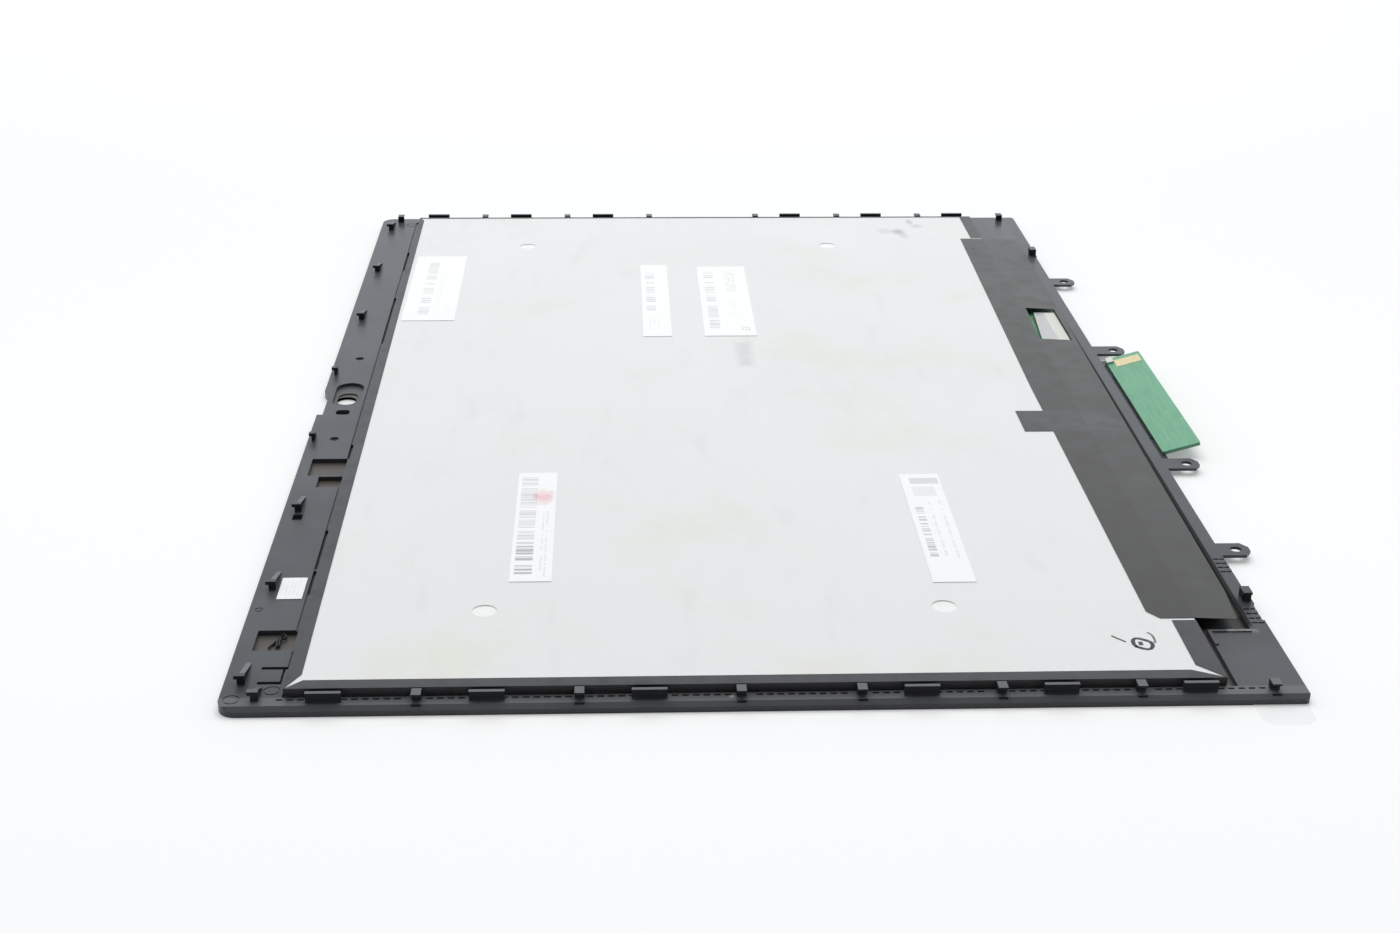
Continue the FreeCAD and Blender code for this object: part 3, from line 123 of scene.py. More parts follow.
def colour(name, about, value):
    """A colour that the user may change, in scene linear values."""
    return FloatVectorProperty(
        name=name, description=about, subtype="COLOR", size=3, min=0.0, max=1.0, default=value
    )


def length(name, about, value):
    """A length that the user may change, in metres."""
    return FloatProperty(
        name=name, description=about, default=value, unit="LENGTH", subtype="DISTANCE", precision=5
    )


class TouchscreenColours(bpy.types.PropertyGroup):
    """Colours of the finishes."""

    bezel: colour("Bezel", "Moulded black plastic of the frame", (0.066, 0.070, 0.077))
    bezel_worn: colour("Bezel worn", "Greyer patches of the moulded plastic", (0.086, 0.091, 0.099))
    metal: colour("Plate metal", "Pale rolled metal of the back plate", (0.868, 0.872, 0.862))
    stain: colour("Plate stain", "Faint warm stains on the back plate", (0.84, 0.832, 0.752))
    tape: colour("Edge tape", "Dark tape folded over the module's edges", (0.042, 0.043, 0.048))
    film: colour("Board film", "Warm dark film over the driver board", (0.018, 0.0165, 0.014))
    strip: colour("Film strip", "Cooler strip that crosses the film at its tab", (0.016, 0.0175, 0.020))
    board: colour("Board green", "Solder mask of the boards", (0.15, 0.42, 0.245))
    trace: colour("Board trace", "Solder mask over copper", (0.125, 0.365, 0.215))
    gold: colour("Gold", "Plated pads and contacts", (0.87, 0.75, 0.46))
    ivory: colour("Connector", "Off-white connector moulding", (0.74, 0.75, 0.69))
    paper: colour("Label paper", "White of the labels", (0.985, 0.985, 0.987))
    print_ink: colour("Print", "Grey of the bars printed on the labels", (0.20, 0.20, 0.23))
    stamp_ink: colour("Stamp", "Red of the stamp on one label", (0.72, 0.10, 0.14))
    pen_ink: colour("Pen", "Ink of the hand marks", (0.035, 0.038, 0.055))
    glass_black: colour("Glass border", "Black printed behind the cover glass", (0.004, 0.004, 0.005))
    glass_dark: colour("Glass active", "Dark active area of the display", (0.011, 0.012, 0.014))
    white: colour("White sheet", "White reflector and lamp bodies", (0.97, 0.97, 0.965))
    clear: colour("Clear sheet", "Clear films and light guide", (0.80, 0.82, 0.82))
    amber: colour("Amber flex", "Polyimide of the flexes", (0.50, 0.24, 0.05))
    chip: colour("Chip", "Black epoxy of the chips", (0.022, 0.022, 0.024))
    steel: colour("Steel", "Bright pressed steel", (0.62, 0.63, 0.64))
    tan: colour("Capacitor", "Tan ceramic", (0.42, 0.31, 0.20))


class TouchscreenSizes(bpy.types.PropertyGroup):
    """Sizes of the fine pieces."""

    film_thick: length("Film", "Thickness of the clear front film", 0.00006)
    film_lift: length("Film lift", "Gap between the floor and the clear film", 0.00002)
    tab_radius: length("Tab radius", "Rounding of the clear pull tab", 0.0030)
    ink_lift: length("Ink", "Height of the pen ink on the metal", 0.00002)
    pen_width: length("Pen", "Width of a pen stroke", 0.00085)
    strand_width: length("Strand", "Diameter of the adhesive strand", 0.00045)
    contact_pitch: length("Contact pitch", "Pitch of the connector's contacts", 0.0005)
    contact_count: IntProperty(
        name="Contacts", description="Contacts in the display connector", default=40, min=2
    )


class TouchscreenStage(bpy.types.PropertyGroup):
    """Camera, floor and light."""

    eye: FloatVectorProperty(
        name="Camera place", description="Where the camera stands", subtype="TRANSLATION",
        unit="LENGTH", default=(-0.485144, 0.028496, 0.195163),
    )
    yaw: FloatProperty(
        name="Yaw", description="Heading of the view from +X", subtype="ANGLE",
        default=math.radians(-2.6069),
    )
    pitch: FloatProperty(
        name="Pitch", description="Tilt of the view from level", subtype="ANGLE",
        default=math.radians(-23.7375),
    )
    roll: FloatProperty(
        name="Roll", description="Turn of the camera about its view", subtype="ANGLE",
        default=math.radians(0.6106),
    )
    lens: FloatProperty(name="Lens", description="Focal length on a 36 mm sensor, in mm", default=52.2)
    floor_size: length("Floor", "Side of the square floor", 12.0)
    floor_colour: colour("Floor colour", "Pale floor", (0.79, 0.79, 0.79))
    floor_white: FloatProperty(
        name="Floor white", description="White that the floor shows to the camera",
        default=0.245, min=0.0,
    )
    backdrop: FloatProperty(
        name="Backdrop", description="Light from the far side", default=0.55, min=0.0
    )
    horizon: FloatProperty(
        name="Horizon", description="Light added low down on the far side", default=0.92, min=0.0
    )
    room: FloatProperty(name="Room", description="Light from the near side", default=0.15, min=0.0)
    key_power: FloatProperty(
        name="Key", description="Soft overhead light", default=14.5, min=0.0, subtype="POWER"
    )


class Value:
    """A shader socket that takes part in Python sums; each sum adds a Math node."""

    def __init__(self, finish, socket):
        self.finish = finish
        self.socket = socket

    def sum(self, operation, first, second=0.0):
        return self.finish.node("Math", {"operation": operation}, {0: first, 1: second})

    def __add__(self, other):
        return self.sum("ADD", self, other)

    def __radd__(self, other):
        return self.sum("ADD", other, self)

    def __sub__(self, other):
        return self.sum("SUBTRACT", self, other)

    def __rsub__(self, other):
        return self.sum("SUBTRACT", other, self)

    def __mul__(self, other):
        return self.sum("MULTIPLY", self, other)

    def __rmul__(self, other):
        return self.sum("MULTIPLY", other, self)

    def __truediv__(self, other):
        return self.sum("DIVIDE", self, other)

    def __rtruediv__(self, other):
        return self.sum("DIVIDE", other, self)

    def __mod__(self, other):
        return self.sum("FLOORED_MODULO", self, other)

    def __pow__(self, other):
        return self.sum("POWER", self, other)

    def __gt__(self, other):
        return self.sum("GREATER_THAN", self, other)

    def __and__(self, other):
        return self.sum("MINIMUM", self, other)

    def __or__(self, other):
        return self.sum("MAXIMUM", self, other)

    def __abs__(self):
        return self.sum("ABSOLUTE", self)

    def __floor__(self):
        return self.sum("FLOOR", self)


class Finish:
    """One material: its nodes, the shaded point in millimetres, and the masks that finishes share."""

    def __init__(self, name, tree=None):
        if tree is None:
            self.material = bpy.data.materials.new(name)
            self.material.use_nodes = True
            tree = self.material.node_tree
        self.tree = tree
        self.tree.nodes.clear()

    def node(self, kind, settings=None, sockets=None, output=0):
        """Adds a node, sets it up, fills its sockets and returns the named output or outputs."""
        made = self.tree.nodes.new("ShaderNode" + kind)
        for key, value in (settings or {}).items():
            setattr(made, key, value)
        for key, value in (sockets or {}).items():
            socket = made.inputs[key]
            if isinstance(value, Value):
                self.tree.links.new(value.socket, socket)
            elif socket.type == "RGBA" and len(value) == 3:
                socket.default_value = (*value, 1.0)
            else:
                socket.default_value = value
        if isinstance(output, tuple):
            return [Value(self, made.outputs[name]) for name in output]
        return Value(self, made.outputs[output]) if made.outputs else made

    def measure(self):
        """Reads the point on the object, in millimetres, and how far its surface faces up."""
        place, facing = self.node("TexCoord", output=("Object", "Normal"))
        self.up = self.node("SeparateXYZ", None, {0: facing}, "Z")
        self.point = self.node("VectorMath", {"operation": "SCALE"}, {0: place, "Scale": 1.0 / MM})
        self.x, self.y, self.z = self.node("SeparateXYZ", None, {0: self.point}, ("X", "Y", "Z"))
        return self

    def noise(self, scale, detail=2.0, stretch=None, shift=(0.0, 0.0, 0.0), rough=0.5):
        """Cloudy noise from about 0 to 1, with scale features to the millimetre."""
        at = self.point
        if stretch or any(shift):
            at = self.node(
                "Mapping", {"vector_type": "POINT"},
                {"Vector": at, "Location": shift, "Scale": stretch or (1.0, 1.0, 1.0)},
            )
        return self.node(
            "TexNoise", {"noise_dimensions": "3D"},
            {"Vector": at, "Scale": scale, "Detail": detail, "Roughness": rough},
        )

    def dice(self, first, second=0.0):
        """A fixed random number for each whole-number cell."""
        cell = self.node("CombineXYZ", None, {0: first, 1: second})
        return self.node("TexWhiteNoise", {"noise_dimensions": "2D"}, {"Vector": cell})

    def step(self, value, low, high):
        """0 below low, 1 above high, smooth between."""
        return self.node(
            "MapRange", {"interpolation_type": "SMOOTHSTEP"}, {0: value, 1: low, 2: high, 3: 0.0, 4: 1.0}
        )

    def band(self, value, low, high, soft=0.05):
        """1 between low and high."""
        risen = self.step(value, low - soft, low + soft)
        return risen & (1.0 - self.step(value, high - soft, high + soft))

    def patch(self, x0, x1, y0, y1, soft=0.05):
        """1 inside a rectangle seen from above."""
        return self.band(self.x, x0, x1, soft) & self.band(self.y, y0, y1, soft)

    def near(self, x, y, across_x, across_y):
        """Distance from a point, 1 at the edge of an ellipse round it."""
        dx, dy = (self.x - x) / across_x, (self.y - y) / across_y
        return (dx * dx + dy * dy) ** 0.5

    def mix(self, first, second, mask):
        """The first colour where the mask is 0, the second where it is 1."""
        return self.node(
            "Mix", {"data_type": "RGBA", "clamp_factor": True}, {0: mask, 6: first, 7: second}, 2
        )

    def spot(self, x, y, across_x, across_y, low=0.96, high=1.04):
        """1 inside an ellipse seen from above, 0 outside it."""
        return 1.0 - self.step(self.near(x, y, across_x, across_y), low, high)

    def edge(self, radius):
        """Normals rounded over the edges."""
        return self.node("Bevel", {"samples": 4}, {"Radius": radius})

    def bump(self, height, strength, distance, normal=None):
        sockets = {"Height": height, "Strength": strength, "Distance": distance}
        if normal is not None:
            sockets["Normal"] = normal
        return self.node("Bump", None, sockets)

    def surface(self, **sockets):
        """Ends the material in one principled shader."""
        names = {key: key.replace("_", " ").title().replace("Ior", "IOR") for key in sockets}
        shader = self.node("BsdfPrincipled", None, {names[k]: v for k, v in sockets.items()})
        self.node("OutputMaterial", None, {"Surface": shader})
        return self.material


def moulded_plastic(look):
    """Black grained moulding with worn patches, dust and a pale fleck; painted shade on steep faces
    above the rim, painted light on the near rim's outer top, a painted glint on a corner pad's rib and a
    painted shadow line beside the film.
    """
    f = Finish("bezel_plastic").measure()
    cloud = f.noise(0.035, 3.0)
    grain = f.noise(3.2, 2.0)
    speck = f.step(f.noise(1.1, 1.0, shift=(7.0, 3.0, 0.0)), 0.73, 0.80)
    tint = f.mix(look.bezel, look.bezel_worn, f.step(cloud, 0.38, 0.66))
    tint = f.mix(tint, (0.16, 0.16, 0.15), speck * 0.35)
    ragged = f.noise(1.2, 2.0, shift=(2.0, 5.0, 0.0))
    fleck = 1.0 - f.step(f.near(*RIM_FLECK) + ragged * 0.8, 0.9, 1.3)
    # Painted highlight: a pale glint along the rib of the near corner pad, sharing its pale colour with
    # the real adhesive fleck
    painted_glint = f.patch(*PAINTED_RIB_GLINT, 0.35) & f.step(ragged, 0.30, 0.55)
    tint = f.mix(tint, (0.52, 0.52, 0.49), (fleck | painted_glint * 0.5) * 0.8)
    pad = f.band(abs(f.x), *CORNER_PAD_X, 1.6) & f.band(f.y, *CORNER_PAD_Y, 1.4)
    lines = f.noise(1.1, 2.0, stretch=(1.0, 0.08, 1.0))
    # Painted shade: the steep faces of clips, posts and hooks above the rim are darkened
    steep_painted_shade = f.step(f.z - RIM_BACK / MM, *ABOVE_RIM) * (1.0 - f.step(f.up, *LEANS_UP))
    tint = f.mix(tint, (0.012, 0.013, 0.013), steep_painted_shade * 0.85)
    level = f.step(f.up, *FACES_UP)
    # Painted light: the top of the near rim's outer strip is made paler and bluer, mottled by the grain
    ledge_painted_light = (1.0 - f.step(f.x, *NEAR_LEDGE_X)) * level * (0.45 + grain * 0.5)
    tint = f.mix(tint, (0.19, 0.195, 0.205), ledge_painted_light * 0.7)
    # Painted shadow: a dark line on the rim beside the cover film's long edge, fading out along it
    film_shadow = f.band(f.y, *FILM_SHADOW_Y, 0.06) * level * (1.0 - f.step(f.x, *FILM_SHADOW_FADE_X))
    film_shadow = film_shadow * f.step(f.x, *FILM_SHADOW_START_X)
    tint = f.mix(tint, (0.006, 0.006, 0.006), film_shadow * 0.85)
    rough = 0.24 + cloud * 0.12 - pad * 0.04 + lines * 0.04 + (steep_painted_shade | film_shadow) * 0.4
    normal = f.bump(grain, 0.18, 0.03 * MM, f.edge(0.12 * MM))
    return f.surface(base_color=tint, roughness=rough, specular_ior_level=0.25, normal=normal)


# Smudges in millimetres: middle, half lengths in x and y, and how dark
PLATE_SMUDGES = (
    (135.2, -62.2, 3.6, 2.6, 0.50), (136.0, -58.0, 3.6, 3.2, 0.20), (145.8, -67.2, 3.4, 1.4, 0.40),
    (141.2, -69.0, 2.6, 2.2, 0.28), (131.0, -63.4, 4.0, 1.8, 0.22),
)


def rolled_metal(look):
    """Pale rolled plate with faint warm stains, handling smudges and a soft grain."""
    f = Finish("plate_metal").measure()
    cloud = f.noise(0.014, 4.0, rough=0.6)
    stain = f.step(f.noise(0.022, 5.0, shift=(40.0, 15.0, 0.0), rough=0.62), 0.50, 0.72)
    grain = f.noise(1.4, 2.0, stretch=(0.04, 1.0, 1.0))
    wipe = f.noise(0.16, 3.0, stretch=(0.25, 1.0, 1.0), shift=(3.0, 9.0, 0.0))
    rub = f.patch(*PLATE_RUB, 1.6) * (0.4 + f.noise(0.25, 2.0) * 0.8)
    tint = f.mix(look.metal, look.stain, stain * 0.8)
    tint = f.mix(tint, (0.60, 0.62, 0.63), f.step(wipe, 0.55, 0.80) * 0.12)
    tint = f.mix(tint, (0.40, 0.42, 0.42), rub * 0.30)
    for x, y, deep, wide, share in PLATE_SMUDGES:
        blot = f.spot(x, y, deep, wide, 0.25, 1.15)
        tint = f.mix(tint, (0.30, 0.30, 0.31), blot * share)
    rough = 0.34 + cloud * 0.14 + grain * 0.05
    normal = f.bump(grain, 0.05, 0.01 * MM, f.edge(0.12 * MM))
    return f.surface(
        base_color=tint, roughness=rough, metallic=0.45, specular_ior_level=0.4, normal=normal
    )


def polyester_tape(look):
    """Dark half-glossy tape with soft ripples."""
    f = Finish("black_tape").measure()
    ripple = f.noise(0.22, 2.0)
    grain = f.noise(2.5, 1.0)
    tint = f.mix(look.tape, look.film, f.step(ripple, 0.45, 0.75) * 0.5)
    rough = 0.34 + ripple * 0.14
    normal = f.bump(ripple * 0.9 + grain * 0.1, 0.18, 0.06 * MM, f.edge(0.08 * MM))
    return f.surface(base_color=tint, roughness=rough, normal=normal)


def board_film(look):
    """Warm dark film with soft creases and a fold, and the cooler strip that crosses it at its tab."""
    f = Finish("cover_film").measure()
    cloud = f.noise(0.05, 3.0)
    crease = f.noise(0.12, 2.0, stretch=(1.0, 0.35, 1.0))
    grain = f.noise(2.8, 1.0)
    strip = f.band(f.x, *FILM_STRIP_X, 0.15)
    mottle = f.step(f.noise(0.22, 3.0, shift=(11.0, 4.0, 0.0)), 0.38, 0.68)
    fold = f.spot(*FILM_FOLD, 0.1, 1.0)
    tint = f.mix(look.film, look.tape, f.step(cloud, 0.42, 0.72) * 0.45)
    tint = f.mix(tint, (0.038, 0.033, 0.024), mottle * 0.6)
    tint = f.mix(tint, look.strip, strip)
    rough = 0.30 + cloud * 0.12 + mottle * 0.06 - strip * 0.04
    height = crease + fold * 0.9 + strip * 0.25 + grain * 0.06
    normal = f.bump(height, 0.30, 0.10 * MM, f.edge(0.10 * MM))
    return f.surface(
        base_color=tint, roughness=rough, specular_ior_level=0.62, specular_tint=(1.0, 0.965, 0.92),
        normal=normal,
    )


def solder_mask(look):
    """Green mask over faint traces, with plated vias."""
    f = Finish("board_green").measure()
    cloud = f.noise(0.11, 3.0)
    lanes = f.noise(1.1, 1.0, stretch=(0.10, 1.0, 1.0))
    trace = f.step(lanes, 0.50, 0.56)
    dot = f.node("TexVoronoi", {"feature": "F1"}, {"Vector": f.point, "Scale": 0.34}, "Distance")
    via = 1.0 - f.step(dot, 0.085, 0.11)
    tint = f.mix(look.board, look.trace, trace * 0.55 + f.step(cloud, 0.45, 0.65) * 0.35)
    tint = f.mix(tint, look.gold, via * 0.35)
    rough = 0.30 + cloud * 0.15
    normal = f.bump(trace * 0.7 + via * 0.5, 0.25, 0.03 * MM, f.edge(0.06 * MM))
    return f.surface(base_color=tint, roughness=rough, normal=normal)


def plated_gold(look):
    """Pale gold plating with a soft grain."""
    f = Finish("gold_pad").measure()
    cloud = f.noise(0.7, 3.0)
    tint = f.mix(look.gold, (0.86, 0.66, 0.33), f.step(cloud, 0.45, 0.75) * 0.6)
    normal = f.bump(f.noise(4.0, 1.0), 0.12, 0.02 * MM, f.edge(0.05 * MM))
    return f.surface(base_color=tint, roughness=0.28 + cloud * 0.15, metallic=0.9, normal=normal)


def connector_moulding(look):
    """Off-white moulding with darker clouds."""
    f = Finish("connector_white").measure()
    cloud = f.noise(0.8, 2.0)
    tint = f.mix(look.ivory, (0.60, 0.60, 0.54), f.step(cloud, 0.35, 0.75) * 0.35)
    normal = f.bump(f.noise(4.0, 1.0), 0.10, 0.02 * MM, f.edge(0.06 * MM))
    return f.surface(base_color=tint, roughness=0.46 + cloud * 0.1, normal=normal)


def pressed_steel(look):
    """Bright pressed steel of the connector's shell."""
    f = Finish("shell_metal").measure()
    grain = f.noise(2.2, 2.0, stretch=(0.1, 1.0, 1.0))
    tint = f.mix(look.steel, (0.78, 0.74, 0.70), grain)
    normal = f.bump(grain, 0.08, 0.01 * MM, f.edge(0.05 * MM))
    return f.surface(base_color=tint, roughness=0.36 + grain * 0.14, metallic=1.0, normal=normal)


def chip_epoxy(look):
    """Black moulded epoxy."""
    f = Finish("chip_black").measure()
    grain = f.noise(3.0, 2.0)
    tint = f.mix(look.chip, (0.05, 0.05, 0.052), f.step(grain, 0.45, 0.8))
    normal = f.bump(grain, 0.2, 0.02 * MM, f.edge(0.06 * MM))
    return f.surface(base_color=tint, roughness=0.45 + grain * 0.2, normal=normal)


def ferrite():
    """Grey sintered ferrite."""
    f = Finish("ferrite_grey").measure()
    grain = f.noise(2.4, 3.0)
    tint = f.mix((0.10, 0.10, 0.105), (0.17, 0.17, 0.17), grain)
    normal = f.bump(grain, 0.25, 0.03 * MM, f.edge(0.08 * MM))
    return f.surface(base_color=tint, roughness=0.5 + grain * 0.2, normal=normal)


def ceramic(look):
    """Tan ceramic."""
    f = Finish("capacitor_tan").measure()
    grain = f.noise(1.8, 2.0)
    tint = f.mix(look.tan, (0.52, 0.42, 0.30), grain)
    normal = f.bump(grain, 0.12, 0.02 * MM, f.edge(0.06 * MM))
    return f.surface(base_color=tint, roughness=0.38 + grain * 0.1, normal=normal)


def amber_flex(look):
    """Amber polyimide with faint copper lines along it."""
    f = Finish("flex_amber").measure()
    lanes = f.step(abs(f.x % 0.6 - 0.3), 0.12, 0.18)
    cloud = f.noise(0.3, 2.0)
    tint = f.mix(look.amber, (0.34, 0.15, 0.03), lanes * 0.6 + cloud * 0.2)
    normal = f.bump(lanes, 0.2, 0.02 * MM, f.edge(0.04 * MM))
    return f.surface(base_color=tint, roughness=0.3 + cloud * 0.12, normal=normal)


def black_flex(look):
    """Black covered flex with faint ridges over its conductors."""
    f = Finish("flex_black").measure()
    lanes = f.step(abs(f.x % 0.8 - 0.4), 0.15, 0.25)
    cloud = f.noise(0.3, 2.0)
    tint = f.mix(look.chip, look.tape, cloud * 0.7)
    normal = f.bump(lanes, 0.12, 0.02 * MM, f.edge(0.04 * MM))
    return f.surface(base_color=tint, roughness=0.35 + cloud * 0.15, normal=normal)


def white_sheet(look, name, rough):
    """Matt white sheet or moulding with a faint mottle."""
    f = Finish(name).measure()
    cloud = f.noise(0.2, 3.0)
    tint = f.mix(look.white, (0.90, 0.90, 0.88), f.step(cloud, 0.4, 0.8))
    normal = f.bump(f.noise(3.0, 1.0), 0.06, 0.01 * MM, f.edge(0.05 * MM))
    return f.surface(base_color=tint, roughness=rough + cloud * 0.1, normal=normal)


def inner_sheet(name, tint_a, tint_b, rough):
    """One of the sealed sheets of the display stack, seen only at its edges."""
    f = Finish(name).measure()
    cloud = f.noise(0.08, 3.0)
    grain = f.noise(1.6, 1.0, stretch=(0.05, 1.0, 1.0))
    tint = f.mix(tint_a, tint_b, cloud)
    normal = f.bump(grain, 0.05, 0.01 * MM, f.edge(0.05 * MM))
    return f.surface(base_color=tint, roughness=rough + cloud * 0.1, normal=normal)


def printed_glass(look):
    """Cover glass: black border, dark active area, clear window at the camera, duller back face."""
    f = Finish("printed_glass").measure()
    low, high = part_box("front_polarizer")
    inset = Vector((ACTIVE_INSET, ACTIVE_INSET, 0.0))
    low, high = (low + inset) / MM, (high - inset) / MM
    active = f.patch(low.x, high.x, low.y, high.y, 0.06)
    haze = f.noise(0.03, 3.0)
    back = f.step(f.z - GLASS_BACK / MM, -0.06, -0.03)
    dust = f.step(f.noise(1.3, 1.0), 0.74, 0.82)
    tint = f.mix(look.glass_black, look.glass_dark, active)
    tint = f.mix(tint, (0.075, 0.068, 0.060), back)
    tint = f.mix(tint, (0.09, 0.09, 0.09), dust * 0.3)
    shade = back & f.patch(*GLASS_SHADE, 0.5)
    tint = f.mix(tint, look.glass_black, shade * 0.85)
    window = f.spot(*CAMERA_WINDOW)
    rough = 0.04 + f.step(haze, 0.5, 0.8) * 0.05 + back * 0.36
    normal = f.bump(haze, 0.02, 0.02 * MM, f.edge(0.10 * MM))
    return f.surface(base_color=tint, roughness=rough, alpha=1.0 - window, normal=normal)


def clear_film(look):
    """Thin clear protective film, open at the camera."""
    f = Finish("clear_film").measure()
    cloud = f.noise(0.06, 3.0)
    alpha = (0.045 + cloud * 0.02) * (1.0 - f.spot(*CAMERA_WINDOW))
    tint = f.mix((0.70, 0.72, 0.76), look.clear, cloud)
    normal = f.bump(cloud, 0.15, 0.2 * MM)
    return f.surface(base_color=tint, roughness=0.10 + cloud * 0.12, alpha=alpha, normal=normal)


def shares(box, along, across):
    """The rectangle between two shares of a label's length and two of its width."""
    (x0, y0), (x1, y1) = box
    long, wide = x1 - x0, y1 - y0
    return x0 + long * along[0], x0 + long * along[1], y1 - wide * across[1], y1 - wide * across[0]


def bars(f, box, along, across, module, cut):
    """Generic stripes across part of a label, of uneven width."""
    where = f.patch(*shares(box, along, across), 0.06)
    fine = f.dice(math.floor(f.x / module), 1.0) > cut
    broad = f.dice(math.floor(f.x / (module * 5.0)), 2.0) > 0.08
    return where & fine & broad


def dashes(f, box, along, across, rows, module):
    """Rows of generic dashes on part of a label."""
    x0, x1, right, left = shares(box, along, across)
    where = f.patch(x0, x1, right, left, 0.06)
    row = (f.y - right) * (rows / (left - right))
    line = f.band(row % 1.0, 0.28, 0.72, 0.06)
    broken = f.dice(math.floor(f.x / module), math.floor(row)) > 0.34
    return where & line & broken


def cells(f, box, along, across, module):
    """A plain block of even cells on part of a label."""
    where = f.patch(*shares(box, along, across), 0.04)
    return where & ((math.floor(f.x / module) + math.floor(f.y / module)) % 2.0 > 0.5)


# For each label: the kind of print, shares along and across it, its settings, and how dark
LABEL_PRINT = {
    "corner_label": (
        (bars, (0.08, 0.90), (0.28, 0.48), (0.30, 0.35), 0.26),
        (dashes, (0.10, 0.85), (0.55, 0.66), (2, 0.9), 0.07),
        (dashes, (0.06, 0.22), (0.74, 0.90), (3, 0.7), 0.10),
    ),
    "upper_label": (
        (bars, (0.34, 0.88), (0.16, 0.50), (0.30, 0.35), 0.30),
        (dashes, (0.09, 0.24), (0.20, 0.62), (3, 0.7), 0.15),
    ),
    "lower_label": (
        (bars, (0.10, 0.92), (0.12, 0.32), (0.30, 0.35), 0.28),
        (dashes, (0.62, 0.94), (0.56, 0.76), (4, 0.8), 0.26),
        (dashes, (0.26, 0.50), (0.56, 0.70), (2, 0.8), 0.10),
        (dashes, (0.07, 0.13), (0.72, 0.90), (3, 0.5), 0.50),
    ),
    "stamp_label": (
        (bars, (0.03, 0.34), (0.10, 0.52), (0.32, 0.52), 0.60),
        (bars, (0.36, 0.96), (0.10, 0.52), (0.30, 0.38), 0.30),
        (dashes, (0.03, 0.62), (0.66, 0.86), (2, 0.9), 0.18),
    ),
    "code_label": (
        (cells, (0.90, 0.96), (0.22, 0.94), (0.34,), 0.62),
        (cells, (0.78, 0.87), (0.22, 0.80), (0.34,), 0.30),
        (bars, (0.20, 0.68), (0.14, 0.34), (0.32, 0.45), 0.48),
        (dashes, (0.22, 0.72), (0.46, 0.60), (1, 0.8), 0.16),
        (dashes, (0.20, 0.74), (0.72, 0.88), (1, 0.8), 0.14),
    ),
    "bezel_label": (
        (dashes, (0.18, 0.84), (0.22, 0.84), (4, 0.7), 0.11),
    ),
}


def printed_label(look, name):
    """White label paper with generic bars, dashes and cells."""
    f = Finish("paper_" + name).measure()
    low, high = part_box(name)
    box = ((low.x / MM, low.y / MM), (high.x / MM, high.y / MM))
    fibre = f.noise(1.5, 3.0)
    tint = f.mix(look.paper, (0.91, 0.92, 0.91), f.step(fibre, 0.45, 0.8) * 0.5)
    for make, along, across, settings, dark in LABEL_PRINT[name]:
        mask = make(f, box, along, across, *settings)
        tint = f.mix(tint, look.print_ink, mask * dark)
    if name == "stamp_label":
        blot = 1.0 - f.step(f.near(*STAMP_BLOT) + f.noise(0.35, 2.0) * 0.6, 0.75, 1.40)
        worn = f.step(f.noise(0.45, 2.0, shift=(4.0, 1.0, 0.0)), 0.30, 0.70)
        tint = f.mix(tint, look.stamp_ink, blot * (0.22 + worn * 0.26))
    normal = f.bump(fibre, 0.05, 0.02 * MM, f.edge(0.05 * MM))
    return f.surface(base_color=tint, roughness=0.42 + fibre * 0.12, normal=normal)


def ink(look, name, tint, share):
    """Pen ink, thinner in places."""
    f = Finish(name).measure()
    stroke = f.noise(1.1, 2.0)
    tone = f.mix(tint, look.metal, f.step(stroke, 0.35, 0.85) * share)
    return f.surface(base_color=tone, roughness=0.5 + stroke * 0.1)


def adhesive():
    """Black stringy adhesive."""
    f = Finish("black_adhesive").measure()
    lump = f.noise(1.6, 3.0)
    tint = f.mix((0.004, 0.004, 0.005), (0.012, 0.012, 0.012), lump)
    normal = f.bump(lump, 0.5, 0.15 * MM)
    return f.surface(base_color=tint, roughness=0.26 + lump * 0.2, specular_ior_level=0.3, normal=normal)


def floor_finish(stage):
    """Pale floor that keeps the object's shadow and shows white to the camera, metal and glass."""
    f = Finish("studio_floor").measure()
    soft = f.noise(0.002, 1.0)
    tint = f.mix(stage.floor_colour, (0.79, 0.795, 0.80), soft)
    tint = f.mix(tint, (0.71, 0.712, 0.715), f.step(f.x, *FLOOR_DIM_X))
    camera, glossy, through = f.node(
        "LightPath", None, None, ("Is Camera Ray", "Is Glossy Ray", "Is Transmission Ray")
    )
    seen = camera | glossy | through
    away = f.step(f.near(0.0, 0.0, 1.0, 1.0), *FLOOR_FADE)
    tint = f.mix(tint, (0.0, 0.0, 0.0), away)
    matt = f.node("BsdfDiffuse", None, {"Color": tint})
    glow_level = stage.floor_white + away * (1.0 - stage.floor_white)
    glow = f.node("Emission", None, {"Color": (1.0, 1.0, 1.0), "Strength": seen * glow_level})
    both = f.node("AddShader", None, {0: matt, 1: glow})
    f.node("OutputMaterial", None, {"Surface": both})
    return f.material


def give(names, material):
    """Gives one finish to the named solids."""
    for name in names:
        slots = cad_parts[name].data.materials
        slots.clear()
        slots.append(material)


def begin(add, name, **settings):
    """Adds a primitive with nothing else selected, and names it."""
    if bpy.context.object and bpy.context.object.mode != "OBJECT":
        bpy.ops.object.mode_set(mode="OBJECT")
    bpy.ops.object.select_all(action="DESELECT")
    add(**settings)
    piece = bpy.context.object
    piece.name = piece.data.name = name
    return piece


